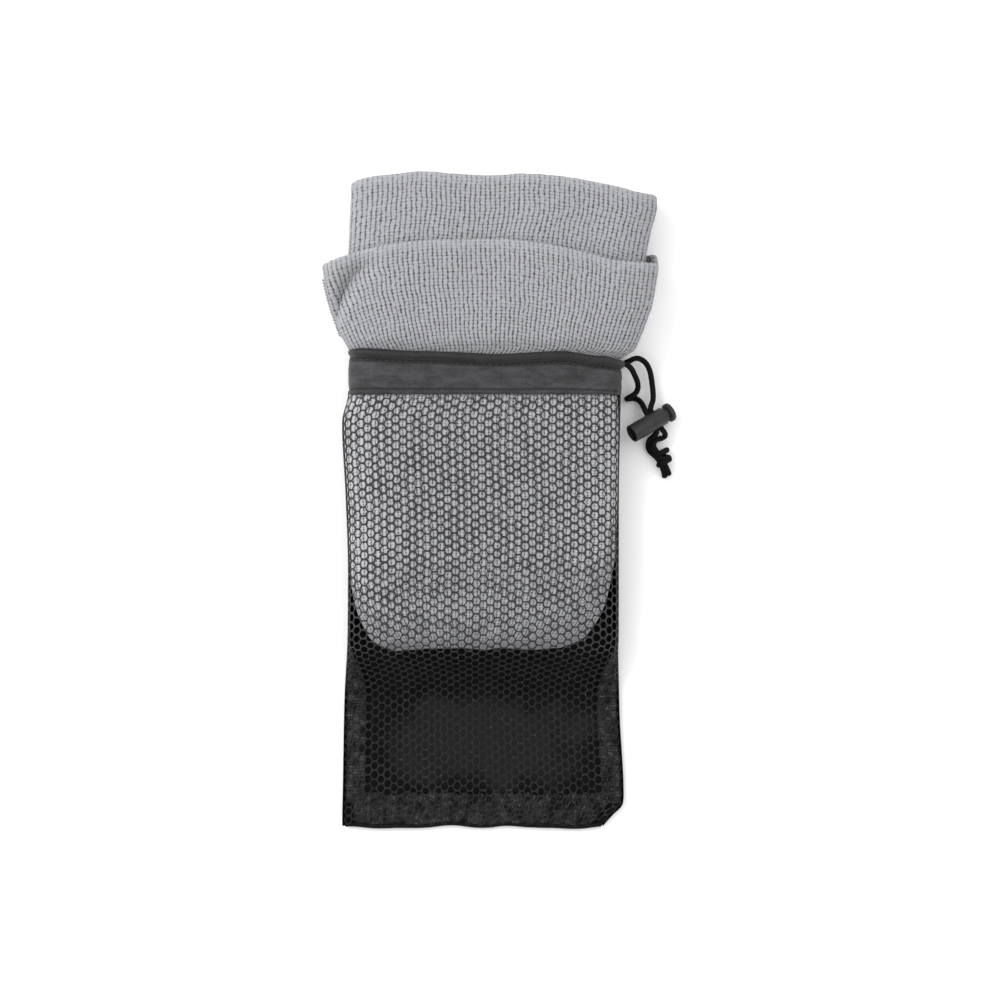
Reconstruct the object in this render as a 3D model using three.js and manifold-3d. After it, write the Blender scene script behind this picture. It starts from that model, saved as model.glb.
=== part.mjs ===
// A quick dry towel in its drawstring pouch, lying on its back. Millimetres.
// +X is the pouch's right, +Y runs from the pouch's foot to the towel's folded end, +Z is up.
import * as THREE from "three";
import { LoftGeometry } from "three/addons/geometries/LoftGeometry.js";
import { mergeVertices } from "three/addons/utils/BufferGeometryUtils.js";
import Module from "manifold-3d";

const wasm = await Module();
wasm.setup();

// ---- Driving dimensions ----
const CLOTH = 0.8; // pouch cloth, mesh and taffeta alike
const GAP = 0.3; // between pieces that touch
const MESH_TOP = 53; // where the mesh is sewn into the mouth's casing
const POUCH_FOOT = -163.5;
const MOUTH = { left: -71, right: 64.5, height: 29.5, seam: 14.5, crown: 4 };
const CASING_WALL = 1.4; // the casing's satin, folded double
const ROLL_HEIGHT = 4.8; // cord channel along the casing's top edge, across the cloth
const ROLL_THICKNESS = 4;
const CORD_DIAMETER = 2.6;
const THREAD_DIAMETER = 0.5;
const STITCH_FROM_EDGE = 2; // the casing's stitch line, in from its lower edge
const SEAM_ALLOWANCE = 10;
const ALLOWANCE_THICKNESS = 1;
const TOWEL_FOOT = -74.5; // how far the towel reaches into the pouch
const TOWEL_TOP = 163;
const TOWEL_THICKNESS = 30.5;
const WRAP_TOP = 128.5; // the outer turn of the towel ends lower than the bundle
const WRAP_THICKNESS = 34;
const BARREL_DIAMETER = 9;
const BARREL_LENGTH = 20;
const BARREL_BORE = 6.2;
const BARREL_FLOOR = 1.4;
const RECESS_DEPTH = 3;
const HEAD_DIAMETER = 9.6;
const HEAD_THICKNESS = 2.4;
const PLUNGER_TRAVEL = 2;
const CORD_HOLE_AT = 14.1; // along the barrel, from its open end
const SPRING_WIRE = 0.4;
const LOCK_END = new THREE.Vector3(MOUTH.right + 5.5, MESH_TOP - 20.7, 13.9); // its open end's centre
const LOCK_TURN = 30; // degrees, in the plane of the floor
const LOCK_TILT = 22; // degrees, the open end up

// ---- Sizes that follow from them ----
const CORD_BORE = CORD_DIAMETER + 2 * GAP;
const TOWEL_IN_MOUTH = {
  left: MOUTH.left + CASING_WALL + ALLOWANCE_THICKNESS + 2 * GAP,
  right: MOUTH.right - CASING_WALL - ALLOWANCE_THICKNESS - 3 * GAP,
  low: ROLL_THICKNESS + GAP,
  height: MOUTH.height - CASING_WALL - GAP,
  seam: MOUTH.seam,
  crown: MOUTH.crown,
};
const FLAT_HEIGHT = 2 * CLOTH + 2 * GAP + ALLOWANCE_THICKNESS + 0.6; // the pouch where it is empty
const ROD_DIAMETER = BARREL_BORE - 2 * GAP;
const CORD_SLOT = { length: 2 * CORD_DIAMETER + 3 * GAP, width: CORD_BORE + 0.2 };
const HEAD_START = BARREL_LENGTH + PLUNGER_TRAVEL + GAP;

// A row whose sides and height are given from the mouth's own.
const besideMouth = (row) => ({
  ...row,
  left: MOUTH.left + row.left,
  right: MOUTH.right + row.right,
  height: MOUTH.height + row.height,
});

// The pouch's outline and thickness along its length, from the foot to the casing.
const POUCH = [
  { y: POUCH_FOOT, left: MOUTH.left - 3, right: MOUTH.right - 8.5 },
  { y: POUCH_FOOT + 5.5, left: MOUTH.left - 3, right: MOUTH.right - 3.8 },
  { y: POUCH_FOOT + 11.5, left: MOUTH.left - 2.9, right: MOUTH.right + 1.1 },
  { y: POUCH_FOOT + 15.5, left: MOUTH.left - 2.8, right: MOUTH.right + 1.5 },
  { y: TOWEL_FOOT - 33.5, left: MOUTH.left - 2.1, right: MOUTH.right - 0.5 },
  ...[
    { y: TOWEL_FOOT - 23.5, left: -1.8, right: -0.8, height: -24.1, seam: 2.2, crown: 4 },
    { y: TOWEL_FOOT - 13.5, left: -1.3, right: -1, height: -17, seam: 4, crown: 3.4 },
    { y: TOWEL_FOOT - 3.5, left: -0.8, right: -1.1, height: -6, seam: 7, crown: 3.4 },
    { y: TOWEL_FOOT + 6.5, left: -0.4, right: -0.9, height: 0.1, seam: 11, crown: 3.8 },
    { y: TOWEL_FOOT + 39.5, left: -0.1, right: -0.9, height: 1, seam: 13.5, crown: 4 },
    { y: TOWEL_FOOT + 74.5, left: -1.2, right: -0.9, height: 1, seam: 14, crown: 4 },
    { y: MESH_TOP - 15, left: -3, right: -0.3, height: 1, seam: 14.5, crown: 4 },
  ].map(besideMouth),
  { y: MESH_TOP - GAP, ...MOUTH },
].map((row) => ({ height: FLAT_HEIGHT, seam: FLAT_HEIGHT / 2, crown: 6, ...row }));

// ---- Shapes ----

// A point of a flattened oval, at an angle from its right seam: the front is up, the back rests flat.
function ovalPoint({ left, right, low = 0, height, seam, crown }, angle, inset = 0) {
  const across = Math.cos(angle);
  const up = Math.sin(angle);
  const half = (right - left) / 2 - inset;
  const rise = up > 0 ? height - seam - inset : seam - low - inset;
  const power = 2 / (up > 0 ? crown : 6);
  return {
    x: (left + right) / 2 + half * Math.sign(across) * Math.abs(across) ** power,
    z: seam + rise * Math.sign(up) * Math.abs(up) ** power,
  };
}

// An arc of such an oval at one station, from the left seam to the right one, as points.
function arc(row, front, inset, count, seamGap = GAP / 2) {
  const points = [];
  for (let i = 0; i <= count; i++) {
    const angle = Math.PI * (1 - i / count) * (front ? 1 : -1);
    const { x, z } = ovalPoint(row, angle, inset);
    const away = front ? row.seam + seamGap : row.seam - seamGap;
    const y = typeof row.y === "function" ? row.y(x) : row.y;
    points.push(new THREE.Vector3(x, y, front ? Math.max(z, away) : Math.min(z, away)));
  }
  return points;
}

// A wall of cloth on the front or the back of an oval body.
function wall(rows, front, thickness, count) {
  const sections = rows.map((row) => {
    const outer = arc(row, front, 0, count);
    const inner = arc(row, front, thickness, count);
    return front ? [...outer, ...inner.reverse()] : [...outer.reverse(), ...inner];
  });
  return new LoftGeometry(sections, { capStart: true, capEnd: true });
}

// A solid bundle with an oval section at each station.
function bundle(rows, count) {
  const sections = rows.map((row) => [
    ...arc(row, true, 0, count, 0),
    ...arc(row, false, 0, count, 0).reverse().slice(1, -1),
  ]);
  return new LoftGeometry(sections, { capStart: true, capEnd: true });
}

// A strip of rectangular section: each row gives its middle, its width and its lean from the flat.
function strip(rows, thickness) {
  const sections = rows.map(({ x, y, z, width, lean }) => {
    const along = new THREE.Vector3(Math.cos(lean), 0, Math.sin(lean)).multiplyScalar(width / 2);
    const up = new THREE.Vector3(-Math.sin(lean), 0, Math.cos(lean)).multiplyScalar(thickness / 2);
    const middle = new THREE.Vector3(x, y, z);
    return [
      middle.clone().sub(along).add(up),
      middle.clone().add(along).add(up),
      middle.clone().add(along).sub(up),
      middle.clone().sub(along).sub(up),
    ];
  });
  return new LoftGeometry(sections, { capStart: true, capEnd: true });
}

function roundSection(radius, sides) {
  const shape = new THREE.Shape();
  for (let i = 0; i < sides; i++) {
    const angle = (2 * Math.PI * i) / sides;
    const point = [radius * Math.cos(angle), radius * Math.sin(angle)];
    if (i) shape.lineTo(...point);
    else shape.moveTo(...point);
  }
  shape.closePath();
  return shape;
}

// A round cord or thread along a curve, or a pipe where a bore is given.
function tube(curve, diameter, steps, sides = 8, bore = 0) {
  const section = roundSection(diameter / 2, sides);
  if (bore) section.holes.push(roundSection(bore / 2, 8));
  return new THREE.ExtrudeGeometry(section, { steps, extrudePath: curve });
}

const smoothLine = (points) => new THREE.CatmullRomCurve3(points);

// ---- Joining and cutting ----

function solid(geometry) {
  const plain = geometry.index ? geometry.toNonIndexed() : geometry.clone();
  plain.deleteAttribute("normal");
  plain.deleteAttribute("uv");
  const merged = mergeVertices(plain, 1e-3);
  return new wasm.Manifold(
    new wasm.Mesh({
      numProp: 3,
      vertProperties: merged.attributes.position.array,
      triVerts: new Uint32Array(merged.index.array),
    }),
  );
}

function geometryOf(made) {
  const { vertProperties, triVerts } = made.getMesh();
  const geometry = new THREE.BufferGeometry();
  geometry.setAttribute("position", new THREE.BufferAttribute(vertProperties, 3));
  geometry.setIndex(new THREE.BufferAttribute(triVerts, 1));
  geometry.computeVertexNormals();
  return geometry;
}

// ---- The object ----

const part = new THREE.Group();

function addNode(name, geometry, colour, roughness, parent = part) {
  const material = new THREE.MeshStandardMaterial({ color: colour, roughness, metalness: 0 });
  const mesh = new THREE.Mesh(geometry, material);
  mesh.name = name;
  parent.add(mesh);
  return mesh;
}

const TOWEL_GREY = 0x9fa0a4;
const MESH_BLACK = 0x2b2b2d;
const TAFFETA_BLACK = 0x1c1c1e;
const SATIN_GREY = 0x4b4b4e;
const CORD_BLACK = 0x101012;
const PLASTIC_BLACK = 0x1d1d1f;
const STEEL = 0x9a9a9a;

// Towel: the bundle pushed into the pouch, and its outer turn, which ends lower and fans out.
function towel() {
  const inside = TOWEL_IN_MOUTH;
  const outside = { low: (WRAP_THICKNESS - TOWEL_THICKNESS) / 2 + 0.4, height: TOWEL_THICKNESS };
  const oval = (row) => {
    const { low = 0, height = WRAP_THICKNESS } = row;
    return { seam: (low + height) / 2, crown: 4, ...row, low, height };
  };
  const { left, right } = MOUTH;
  const bundleRows = [
    { y: TOWEL_FOOT, left: left + 19, right: right - 27.5, low: 11, height: inside.height - 7.8 },
    { ...inside, y: TOWEL_FOOT + 3, left: left + 14, right: right - 20.5, low: 6.5, height: 25 },
    { ...inside, y: TOWEL_FOOT + 9, left: left + 9, right: right - 13.5 },
    { ...inside, y: TOWEL_FOOT + 20, left: inside.left + 1.5, right: inside.right - 3 },
    { ...inside, y: TOWEL_FOOT + 38 },
    { ...inside, y: MESH_TOP + 23 },
    { ...outside, y: MESH_TOP + 31, left: left + 1, right: right + 3.5 },
    { ...outside, y: MESH_TOP + 47, left: left + 0.5, right: right + 9 },
    { ...outside, y: WRAP_TOP - 6.5, left: left + 0.5, right: right + 12.5 },
    { ...outside, y: TOWEL_TOP - 17, left: left + 1.5, right: right + 17.8 },
    { ...outside, y: TOWEL_TOP - 9, left: left + 1.5, right: right + 17 },
    { y: TOWEL_TOP - 4, left: left + 5, right: right + 5.5, low: 5, height: 28.5 },
    { y: TOWEL_TOP, left: left + 21, right: right - 24.5, low: 12, height: 21 },
  ];
  const wrapRows = [
    { y: MESH_TOP + 23.5, left: left + 0.3, right: right + 5, low: 4, height: 30 },
    { y: MESH_TOP + 28, left: left - 2.8, right: right + 8.9, height: 32.5 },
    { y: WRAP_TOP - 32.5, left: left - 8.6, right: right + 15.3 },
    { y: WRAP_TOP - 20.5, left: left - 11.8, right: right + 17.7 },
    { y: WRAP_TOP - 14, left: left - 13, right: right + 18.5 },
    { y: WRAP_TOP - 9.5, left: left - 5, right: right + 15.5 },
    { y: WRAP_TOP - 4.5, left: left + 13, right: right - 16.5 },
    { y: WRAP_TOP, left: left + 43, right: right - 56.5, low: 1.5, height: WRAP_THICKNESS - 1.5 },
  ];
  const [core, wrap] = [bundleRows, wrapRows].map((rows) => solid(bundle(rows.map(oval), 14)));
  return geometryOf(core.add(wrap));
}
addNode("towel", towel(), TOWEL_GREY, 1);

// The overlocked hem along the towel's free edge, which lies at the left of the outer turn.
const hemLine = smoothLine([
  new THREE.Vector3(MOUTH.left - 14, WRAP_TOP - 16.5, 17),
  new THREE.Vector3(MOUTH.left - 12.6, WRAP_TOP - 26.5, 17),
  new THREE.Vector3(MOUTH.left - 9.5, WRAP_TOP - 37.5, 17),
  new THREE.Vector3(MOUTH.left - 4.8, WRAP_TOP - 46.5, 16.6),
]);
addNode("towel_hem_thread", tube(hemLine, 1, 10, 6), TOWEL_GREY, 1);

// Pouch panels.
addNode("mesh_front_panel", wall(POUCH, true, CLOTH, 20), MESH_BLACK, 0.8);
addNode("back_panel", wall(POUCH, false, CLOTH, 16), TAFFETA_BLACK, 0.55);

// Seam allowances: upright beside the towel, flat in the empty foot of the pouch.
function sideAllowance(side) {
  const outward = side === "left" ? -1 : 1;
  const rows = POUCH.filter(({ y }) => y > POUCH_FOOT + SEAM_ALLOWANCE + 1 && y < MESH_TOP - 5);
  return strip(
    rows.map((row) => {
      const lies = row.height === FLAT_HEIGHT;
      const width = lies ? SEAM_ALLOWANCE : 1.4;
      const inset = CLOTH + GAP + (lies ? width / 2 + 2 : ALLOWANCE_THICKNESS / 2 + 0.2);
      return {
        x: row[side] - outward * inset,
        y: row.y,
        z: row.seam,
        width,
        lean: lies ? 0 : Math.PI / 2,
      };
    }),
    ALLOWANCE_THICKNESS,
  );
}
addNode("seam_allowance_left", sideAllowance("left"), TAFFETA_BLACK, 0.9);
addNode("seam_allowance_right", sideAllowance("right"), TAFFETA_BLACK, 0.9);

function footAllowance() {
  const end = POUCH_FOOT + 0.5;
  const { left, right, seam } = POUCH[0];
  const row = { x: (left + right) / 2, z: seam, width: right - left - 6, lean: 0 };
  return strip(
    [
      { y: end, ...row },
      { y: end + SEAM_ALLOWANCE, ...row },
    ],
    ALLOWANCE_THICKNESS,
  );
}
addNode("seam_allowance_foot", footAllowance(), TAFFETA_BLACK, 0.9);

// The casing's channel for the cord: a flat roll of cloth round the mouth, open at the right seam.
const MOUTH_WAVE = [MOUTH.left, -35, 4, 35, MOUTH.right - 9.5, MOUTH.right + 0.5];
const MOUTH_EDGE = [19.6, 18.1, 16.6, 17.9, 15.6, 14].map((rise) => MESH_TOP + rise);
function mouthEdge(x) {
  let i = 0;
  while (i < MOUTH_WAVE.length - 2 && x > MOUTH_WAVE[i + 1]) i++;
  const share = THREE.MathUtils.clamp((x - MOUTH_WAVE[i]) / (MOUTH_WAVE[i + 1] - MOUTH_WAVE[i]), 0, 1);
  return THREE.MathUtils.lerp(MOUTH_EDGE[i], MOUTH_EDGE[i + 1], THREE.MathUtils.smoothstep(share, 0, 1));
}

// The middle of the channel: it clears the towel by the casing's own wall.
const channelOval = {
  left: MOUTH.left + CASING_WALL - ROLL_THICKNESS / 2,
  right: MOUTH.right - CASING_WALL + ROLL_THICKNESS / 2,
  seam: MOUTH.seam,
  height: MOUTH.height - CASING_WALL + ROLL_THICKNESS / 2,
  crown: MOUTH.crown,
};
const backMiddle = ROLL_THICKNESS / 2;

function channelLine(fromAngle, toAngle, count) {
  const points = [];
  for (let i = 0; i <= count; i++) {
    const angle = fromAngle + ((toAngle - fromAngle) * i) / count;
    const { x, z } = ovalPoint(channelOval, angle);
    points.push(new THREE.Vector3(x, mouthEdge(x), Math.max(z, backMiddle)));
  }
  return smoothLine(points);
}

const EXIT_ANGLE = 0.09; // how far from the right seam the channel's two ends open
const CHANNEL_STEPS = 76;
const channel = channelLine(-EXIT_ANGLE, EXIT_ANGLE - 2 * Math.PI, 56);
const CORD_ANGLE = EXIT_ANGLE + 0.03; // the cord inside it stops just short of them
const cordInChannel = channelLine(-CORD_ANGLE, CORD_ANGLE - 2 * Math.PI, 56);

function casing(front) {
  const sign = front ? 1 : -1;
  const rows = [
    { y: MESH_TOP, ...MOUTH },
    { y: (x) => mouthEdge(x) - 0.8, ...MOUTH },
  ];
  const bore = solid(tube(channel, CORD_BORE, CHANNEL_STEPS));
  const roll = solid(tube(channel, ROLL_THICKNESS, CHANNEL_STEPS, 10, CORD_BORE));
  const half = new THREE.BoxGeometry(200, 200, 100);
  half.translate(0, 0, MOUTH.seam + sign * (50 + GAP / 2));
  return geometryOf(
    solid(wall(rows, front, CASING_WALL, 20)).subtract(bore).add(roll.intersect(solid(half))),
  );
}
addNode("casing_front", casing(true), SATIN_GREY, 0.6);
addNode("casing_back", casing(false), SATIN_GREY, 0.6);

// Stitch lines: one along the casing's lower edge, one under the channel, front and back.
function stitchLine(front, heightAt) {
  const points = [];
  const count = 20;
  const clear = 2 * GAP + THREAD_DIAMETER / 2;
  for (let i = 2; i < count - 1; i++) {
    const angle = Math.PI * (1 - i / count) * (front ? 1 : -1);
    const { x, z } = ovalPoint(MOUTH, angle, front ? -clear : CASING_WALL + clear);
    points.push(new THREE.Vector3(x, heightAt(x), z));
  }
  return tube(smoothLine(points), THREAD_DIAMETER, 28, 6);
}
const lowerStitch = () => MESH_TOP + STITCH_FROM_EDGE;
const channelStitch = () => Math.min(...MOUTH_EDGE) - ROLL_HEIGHT / 2 - GAP - THREAD_DIAMETER;
addNode("casing_thread_front", stitchLine(true, lowerStitch), SATIN_GREY, 0.8);
addNode("casing_thread_back", stitchLine(false, lowerStitch), SATIN_GREY, 0.8);
addNode("channel_thread_front", stitchLine(true, channelStitch), SATIN_GREY, 0.8);
addNode("channel_thread_back", stitchLine(false, channelStitch), SATIN_GREY, 0.8);

// Drawcord: the stretch in the channel, from one end of it round the left side to the other.
addNode("drawcord_in_channel", tube(cordInChannel, CORD_DIAMETER, CHANNEL_STEPS), CORD_BLACK, 0.85);

// ---- Cord lock ----
const turn = THREE.MathUtils.degToRad(LOCK_TURN);
const tilt = THREE.MathUtils.degToRad(LOCK_TILT);
const lockAxis = new THREE.Vector3(
  Math.cos(tilt) * Math.cos(turn),
  Math.cos(tilt) * Math.sin(turn),
  -Math.sin(tilt),
);
const cordWay = new THREE.Vector3(Math.sin(turn), -Math.cos(turn), 0);

// The lock's own frame: Y along the barrel, X along the cord hole.
const lock = new THREE.Group();
lock.position.copy(LOCK_END);
lock.quaternion.setFromRotationMatrix(
  new THREE.Matrix4().makeBasis(cordWay, lockAxis, cordWay.clone().cross(lockAxis)),
);
part.add(lock);

function turned(profile, segments = 28) {
  return solid(new THREE.LatheGeometry(profile.map(([r, y]) => new THREE.Vector2(r, y)), segments));
}

// A round-ended slot through the lock, along X, from one height to another.
function cordSlot(from, to) {
  const r = CORD_SLOT.width / 2;
  const shape = new THREE.Shape();
  shape.absarc(0, to - r, r, 0, Math.PI, false);
  shape.absarc(0, from + r, r, Math.PI, 2 * Math.PI, false);
  const made = new THREE.ExtrudeGeometry(shape, { depth: 14, bevelEnabled: false, curveSegments: 6 });
  made.translate(0, 0, -7).rotateY(Math.PI / 2);
  return solid(made);
}

function barrel() {
  const r = BARREL_DIAMETER / 2;
  const edge = 0.35;
  const body = turned([
    [0, RECESS_DEPTH],
    [BARREL_BORE / 2, RECESS_DEPTH],
    [BARREL_BORE / 2, 0],
    [r - edge, 0],
    [r, edge],
    [r, BARREL_LENGTH - edge],
    [r - edge, BARREL_LENGTH],
    [BARREL_BORE / 2, BARREL_LENGTH],
    [BARREL_BORE / 2, RECESS_DEPTH + BARREL_FLOOR],
    [0, RECESS_DEPTH + BARREL_FLOOR],
  ]);
  const half = CORD_SLOT.length / 2;
  return geometryOf(body.subtract(cordSlot(CORD_HOLE_AT - half, CORD_HOLE_AT + half)));
}
addNode("lock_barrel", barrel(), PLASTIC_BLACK, 0.45, lock);

const slotStart = CORD_HOLE_AT - CORD_SLOT.length / 2;
const rodStart = slotStart - 1.4;
function plunger() {
  const r = HEAD_DIAMETER / 2;
  const edge = 0.7;
  const top = HEAD_START + HEAD_THICKNESS;
  const body = turned([
    [0, rodStart],
    [ROD_DIAMETER / 2, rodStart],
    [ROD_DIAMETER / 2, HEAD_START],
    [r - edge, HEAD_START],
    [r, HEAD_START + edge],
    [r, top - edge],
    [r - edge, top],
    [0, top],
  ]);
  const slotEnd = slotStart + CORD_SLOT.length + PLUNGER_TRAVEL;
  return geometryOf(body.subtract(cordSlot(slotStart, slotEnd)));
}
addNode("lock_plunger", plunger(), PLASTIC_BLACK, 0.45, lock);

function spring() {
  const from = RECESS_DEPTH + BARREL_FLOOR + GAP + SPRING_WIRE / 2;
  const to = rodStart - GAP - SPRING_WIRE / 2;
  const turns = 3.5;
  const radius = BARREL_BORE / 2 - GAP - SPRING_WIRE;
  const points = [];
  const count = 42;
  for (let i = 0; i <= count; i++) {
    const angle = (2 * Math.PI * turns * i) / count;
    const y = THREE.MathUtils.lerp(from, to, i / count);
    points.push(new THREE.Vector3(radius * Math.cos(angle), y, radius * Math.sin(angle)));
  }
  return tube(smoothLine(points), SPRING_WIRE, 60, 6);
}
addNode("lock_spring", spring(), STEEL, 0.3, lock);

// ---- Free ends of the drawcord ----
const holeMiddle = LOCK_END.clone().addScaledVector(lockAxis, CORD_HOLE_AT);
// A point in the lock's cord hole: left or right of its middle, and along the hole.
const inHole = (side, along) =>
  holeMiddle
    .clone()
    .addScaledVector(lockAxis, (side * (CORD_DIAMETER + GAP)) / 2)
    .addScaledVector(cordWay, along);
// Where a strand leaves the channel: beside the end of the cord inside it.
const channelEnd = (front) => {
  const end = channel.getPointAt(front ? 1 : 0);
  return end.add(new THREE.Vector3(ROLL_THICKNESS / 2 + GAP, 0, 0));
};

// A line's points, given from the mouth's right end at the mesh's top edge.
const beside = new THREE.Vector3(MOUTH.right, MESH_TOP, 0);
const route = (points) => points.map((point) => new THREE.Vector3(...point).add(beside));

// The upper strand leaves the back channel, the lower one the front channel.
const upperStrand = [
  channelEnd(false),
  ...route([
    [5, 15.9, 9],
    [6.9, 17, 9],
    [9.6, 16.9, 8.1],
    [12.5, 15, 7],
    [14.7, 11, 5.8],
    [15.9, 4.5, 5],
    [16.4, -3, 5.8],
  ]),
  inHole(1, -6.2),
  inHole(1, -3.4),
  inHole(1, -GAP / 2),
];
const lowerStrand = [
  channelEnd(true),
  ...route([
    [5.3, 11.6, 17],
    [7.2, 8.2, 13],
    [8.6, 4.8, 9.4],
    [8.7, 1.8, 6.9],
    [7.6, -0.6, 5.6],
    [5.4, -2.4, 5.2],
    [3.1, -3.3, 4.3],
    [2.4, -3.5, 2.8],
    [4.1, -3.8, 1.5],
    [7, -4.1, 1.7],
    [9.9, -5.6, 3.6],
  ]),
  inHole(-1, -6.2),
  inHole(-1, -3.4),
  inHole(-1, -GAP / 2),
];
const upperTail = [
  inHole(1, GAP / 2),
  inHole(1, 3),
  inHole(1, 5.6),
  ...route([
    [22.5, -20.4, 6.6],
    [22.7, -22.4, 4.9],
    [21.2, -23.9, 4.2],
    [19.1, -24.7, 4.3],
    [18.2, -26.6, 4.5],
  ]),
];
const lowerTail = [
  inHole(-1, GAP / 2),
  inHole(-1, 3),
  inHole(-1, 5.4),
  ...route([
    [17.9, -21.6, 7.8],
    [16, -23.1, 5.4],
    [14.4, -24.4, 3.4],
    [13.9, -27, 1.9],
    [14.6, -29, 1.8],
    [15.4, -30.3, 2.2],
  ]),
];
addNode("drawcord_strand_upper", tube(smoothLine(upperStrand), CORD_DIAMETER, 18), CORD_BLACK, 0.85);
addNode("drawcord_strand_lower", tube(smoothLine(lowerStrand), CORD_DIAMETER, 26), CORD_BLACK, 0.85);
addNode("drawcord_tail_upper", tube(smoothLine(upperTail), CORD_DIAMETER, 12), CORD_BLACK, 0.85);
addNode("drawcord_tail_lower", tube(smoothLine(lowerTail), CORD_DIAMETER, 12), CORD_BLACK, 0.85);

// The knot that keeps the lock on, with the cord's two cut ends.
function knot() {
  const ball = new THREE.SphereGeometry(1, 16, 12);
  ball.scale(4.2, 6.4, 3.7).rotateZ(0.36).translate(MOUTH.right + 21.2, MESH_TOP - 34.2, 3.9);
  const ends = [
    [[21.9, -36, 3.4], [22.5, -39.8, 2.2], [22.9, -42.6, 1.7]],
    [[23.7, -35.6, 3.4], [24.7, -39.2, 2.2], [25.5, -41.8, 1.7]],
  ];
  return geometryOf(
    ends.reduce(
      (made, points) => made.add(solid(tube(smoothLine(route(points)), CORD_DIAMETER, 4))),
      solid(ball),
    ),
  );
}
addNode("cord_knot", knot(), CORD_BLACK, 0.85);

export default part;
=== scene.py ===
"""Quick dry towel, folded, rolled flat and pushed into a drawstring pouch with a net front.

The towel, the pouch with its casing and seams, the drawcord with its knot, and the
spring cord lock are each a class that builds and dresses its own pieces. Lengths inside
the classes are millimetres; meshes are made in metres.
"""

import logging
import math
from dataclasses import dataclass, field
from enum import Enum

import bpy
import numpy as np
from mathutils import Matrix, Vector


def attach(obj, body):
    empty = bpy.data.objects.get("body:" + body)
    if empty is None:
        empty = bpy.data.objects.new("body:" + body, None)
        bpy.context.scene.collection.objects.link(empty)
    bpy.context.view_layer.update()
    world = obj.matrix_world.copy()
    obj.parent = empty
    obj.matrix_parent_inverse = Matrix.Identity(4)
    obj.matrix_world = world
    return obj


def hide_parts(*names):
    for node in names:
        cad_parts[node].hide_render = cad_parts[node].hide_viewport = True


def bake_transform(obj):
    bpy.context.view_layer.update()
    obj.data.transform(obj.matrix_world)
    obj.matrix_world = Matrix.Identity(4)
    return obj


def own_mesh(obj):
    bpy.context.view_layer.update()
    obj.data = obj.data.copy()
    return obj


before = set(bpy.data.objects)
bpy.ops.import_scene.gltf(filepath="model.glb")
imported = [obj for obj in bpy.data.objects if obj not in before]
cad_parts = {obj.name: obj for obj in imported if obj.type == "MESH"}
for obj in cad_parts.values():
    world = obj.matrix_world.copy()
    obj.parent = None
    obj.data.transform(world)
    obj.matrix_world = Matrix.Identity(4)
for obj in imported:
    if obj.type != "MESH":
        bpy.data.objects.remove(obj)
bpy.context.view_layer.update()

MM = 0.001
LOG = logging.getLogger("towel")
Numbers = np.ndarray
Colour = tuple[float, float, float]
Point = tuple[float, float, float]
POUCH_FOOT = -163.5
POUCH_MOUTH = 76.0
NET_CELL = (6, 4)


# ---------------------------------------------------------------- numbers and cloth maths


def smooth_table(stations: list[float], values: list[float], at: Numbers) -> Numbers:
    """A curve through a table that never overshoots it.

    Args:
        stations: where the values hold, rising.
        values: the value at each station.
        at: where the curve is wanted.

    Returns:
        The curve's values, flat beyond the table's ends.
    """
    x, v = np.asarray(stations, float), np.asarray(values, float)
    step = np.diff(x)
    slope = np.diff(v) / step
    tangent = np.zeros_like(v)
    inner = slope[:-1] * slope[1:] > 0
    both = np.where(inner, slope[:-1] + slope[1:], 1.0)
    tangent[1:-1] = np.where(inner, 2 * slope[:-1] * slope[1:] / both, 0.0)
    tangent[0], tangent[-1] = slope[0], slope[-1]
    q = np.clip(np.asarray(at, float), x[0], x[-1])
    i = np.clip(np.searchsorted(x, q, side="right") - 1, 0, len(x) - 2)
    t = (q - x[i]) / step[i]
    return (
        (2 * t**3 - 3 * t**2 + 1) * v[i]
        + (t**3 - 2 * t**2 + t) * step[i] * tangent[i]
        + (3 * t**2 - 2 * t**3) * v[i + 1]
        + (t**3 - t**2) * step[i] * tangent[i + 1]
    )


def ease(low: float, high: float, value: Numbers) -> Numbers:
    """A smooth step from 0 at low to 1 at high."""
    t = np.clip((value - low) / (high - low), 0, 1)
    return t * t * (3 - 2 * t)


def unevenness(a: Numbers, b: Numbers, size: float, seed: int) -> Numbers:
    """Smooth hand-made unevenness over a cloth.

    Args:
        a: first cloth coordinate, millimetres.
        b: second cloth coordinate, millimetres.
        size: width of one swell, millimetres.
        seed: picks the pattern.

    Returns:
        Values from -1 to 1.
    """
    lattice = np.random.default_rng(seed).uniform(-1, 1, (64, 64))
    p, q = np.asarray(a) / size + 512, np.asarray(b) / size + 512
    i, j = np.floor(p).astype(int), np.floor(q).astype(int)
    s, t = ease(0, 1, p - i), ease(0, 1, q - j)

    def corner(di: int, dj: int) -> Numbers:
        """The lattice's values at one corner of each point's square."""
        return lattice[(i + di) % 64, (j + dj) % 64]

    near = corner(0, 0) * (1 - s) + corner(1, 0) * s
    far = corner(0, 1) * (1 - s) + corner(1, 1) * s
    return near * (1 - t) + far * t


def rounded_turn(share: Numbers) -> Numbers:
    """Share of a turn, slowed at each quarter so that points round an oval stay close."""
    quarter = np.floor(share * 4)
    return (quarter + ease(0, 1, share * 4 - quarter)) / 4


def unit(vectors: Numbers) -> Numbers:
    """Vectors scaled to length one."""
    return vectors / np.maximum(np.linalg.norm(vectors, axis=-1, keepdims=True), 1e-9)


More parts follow.
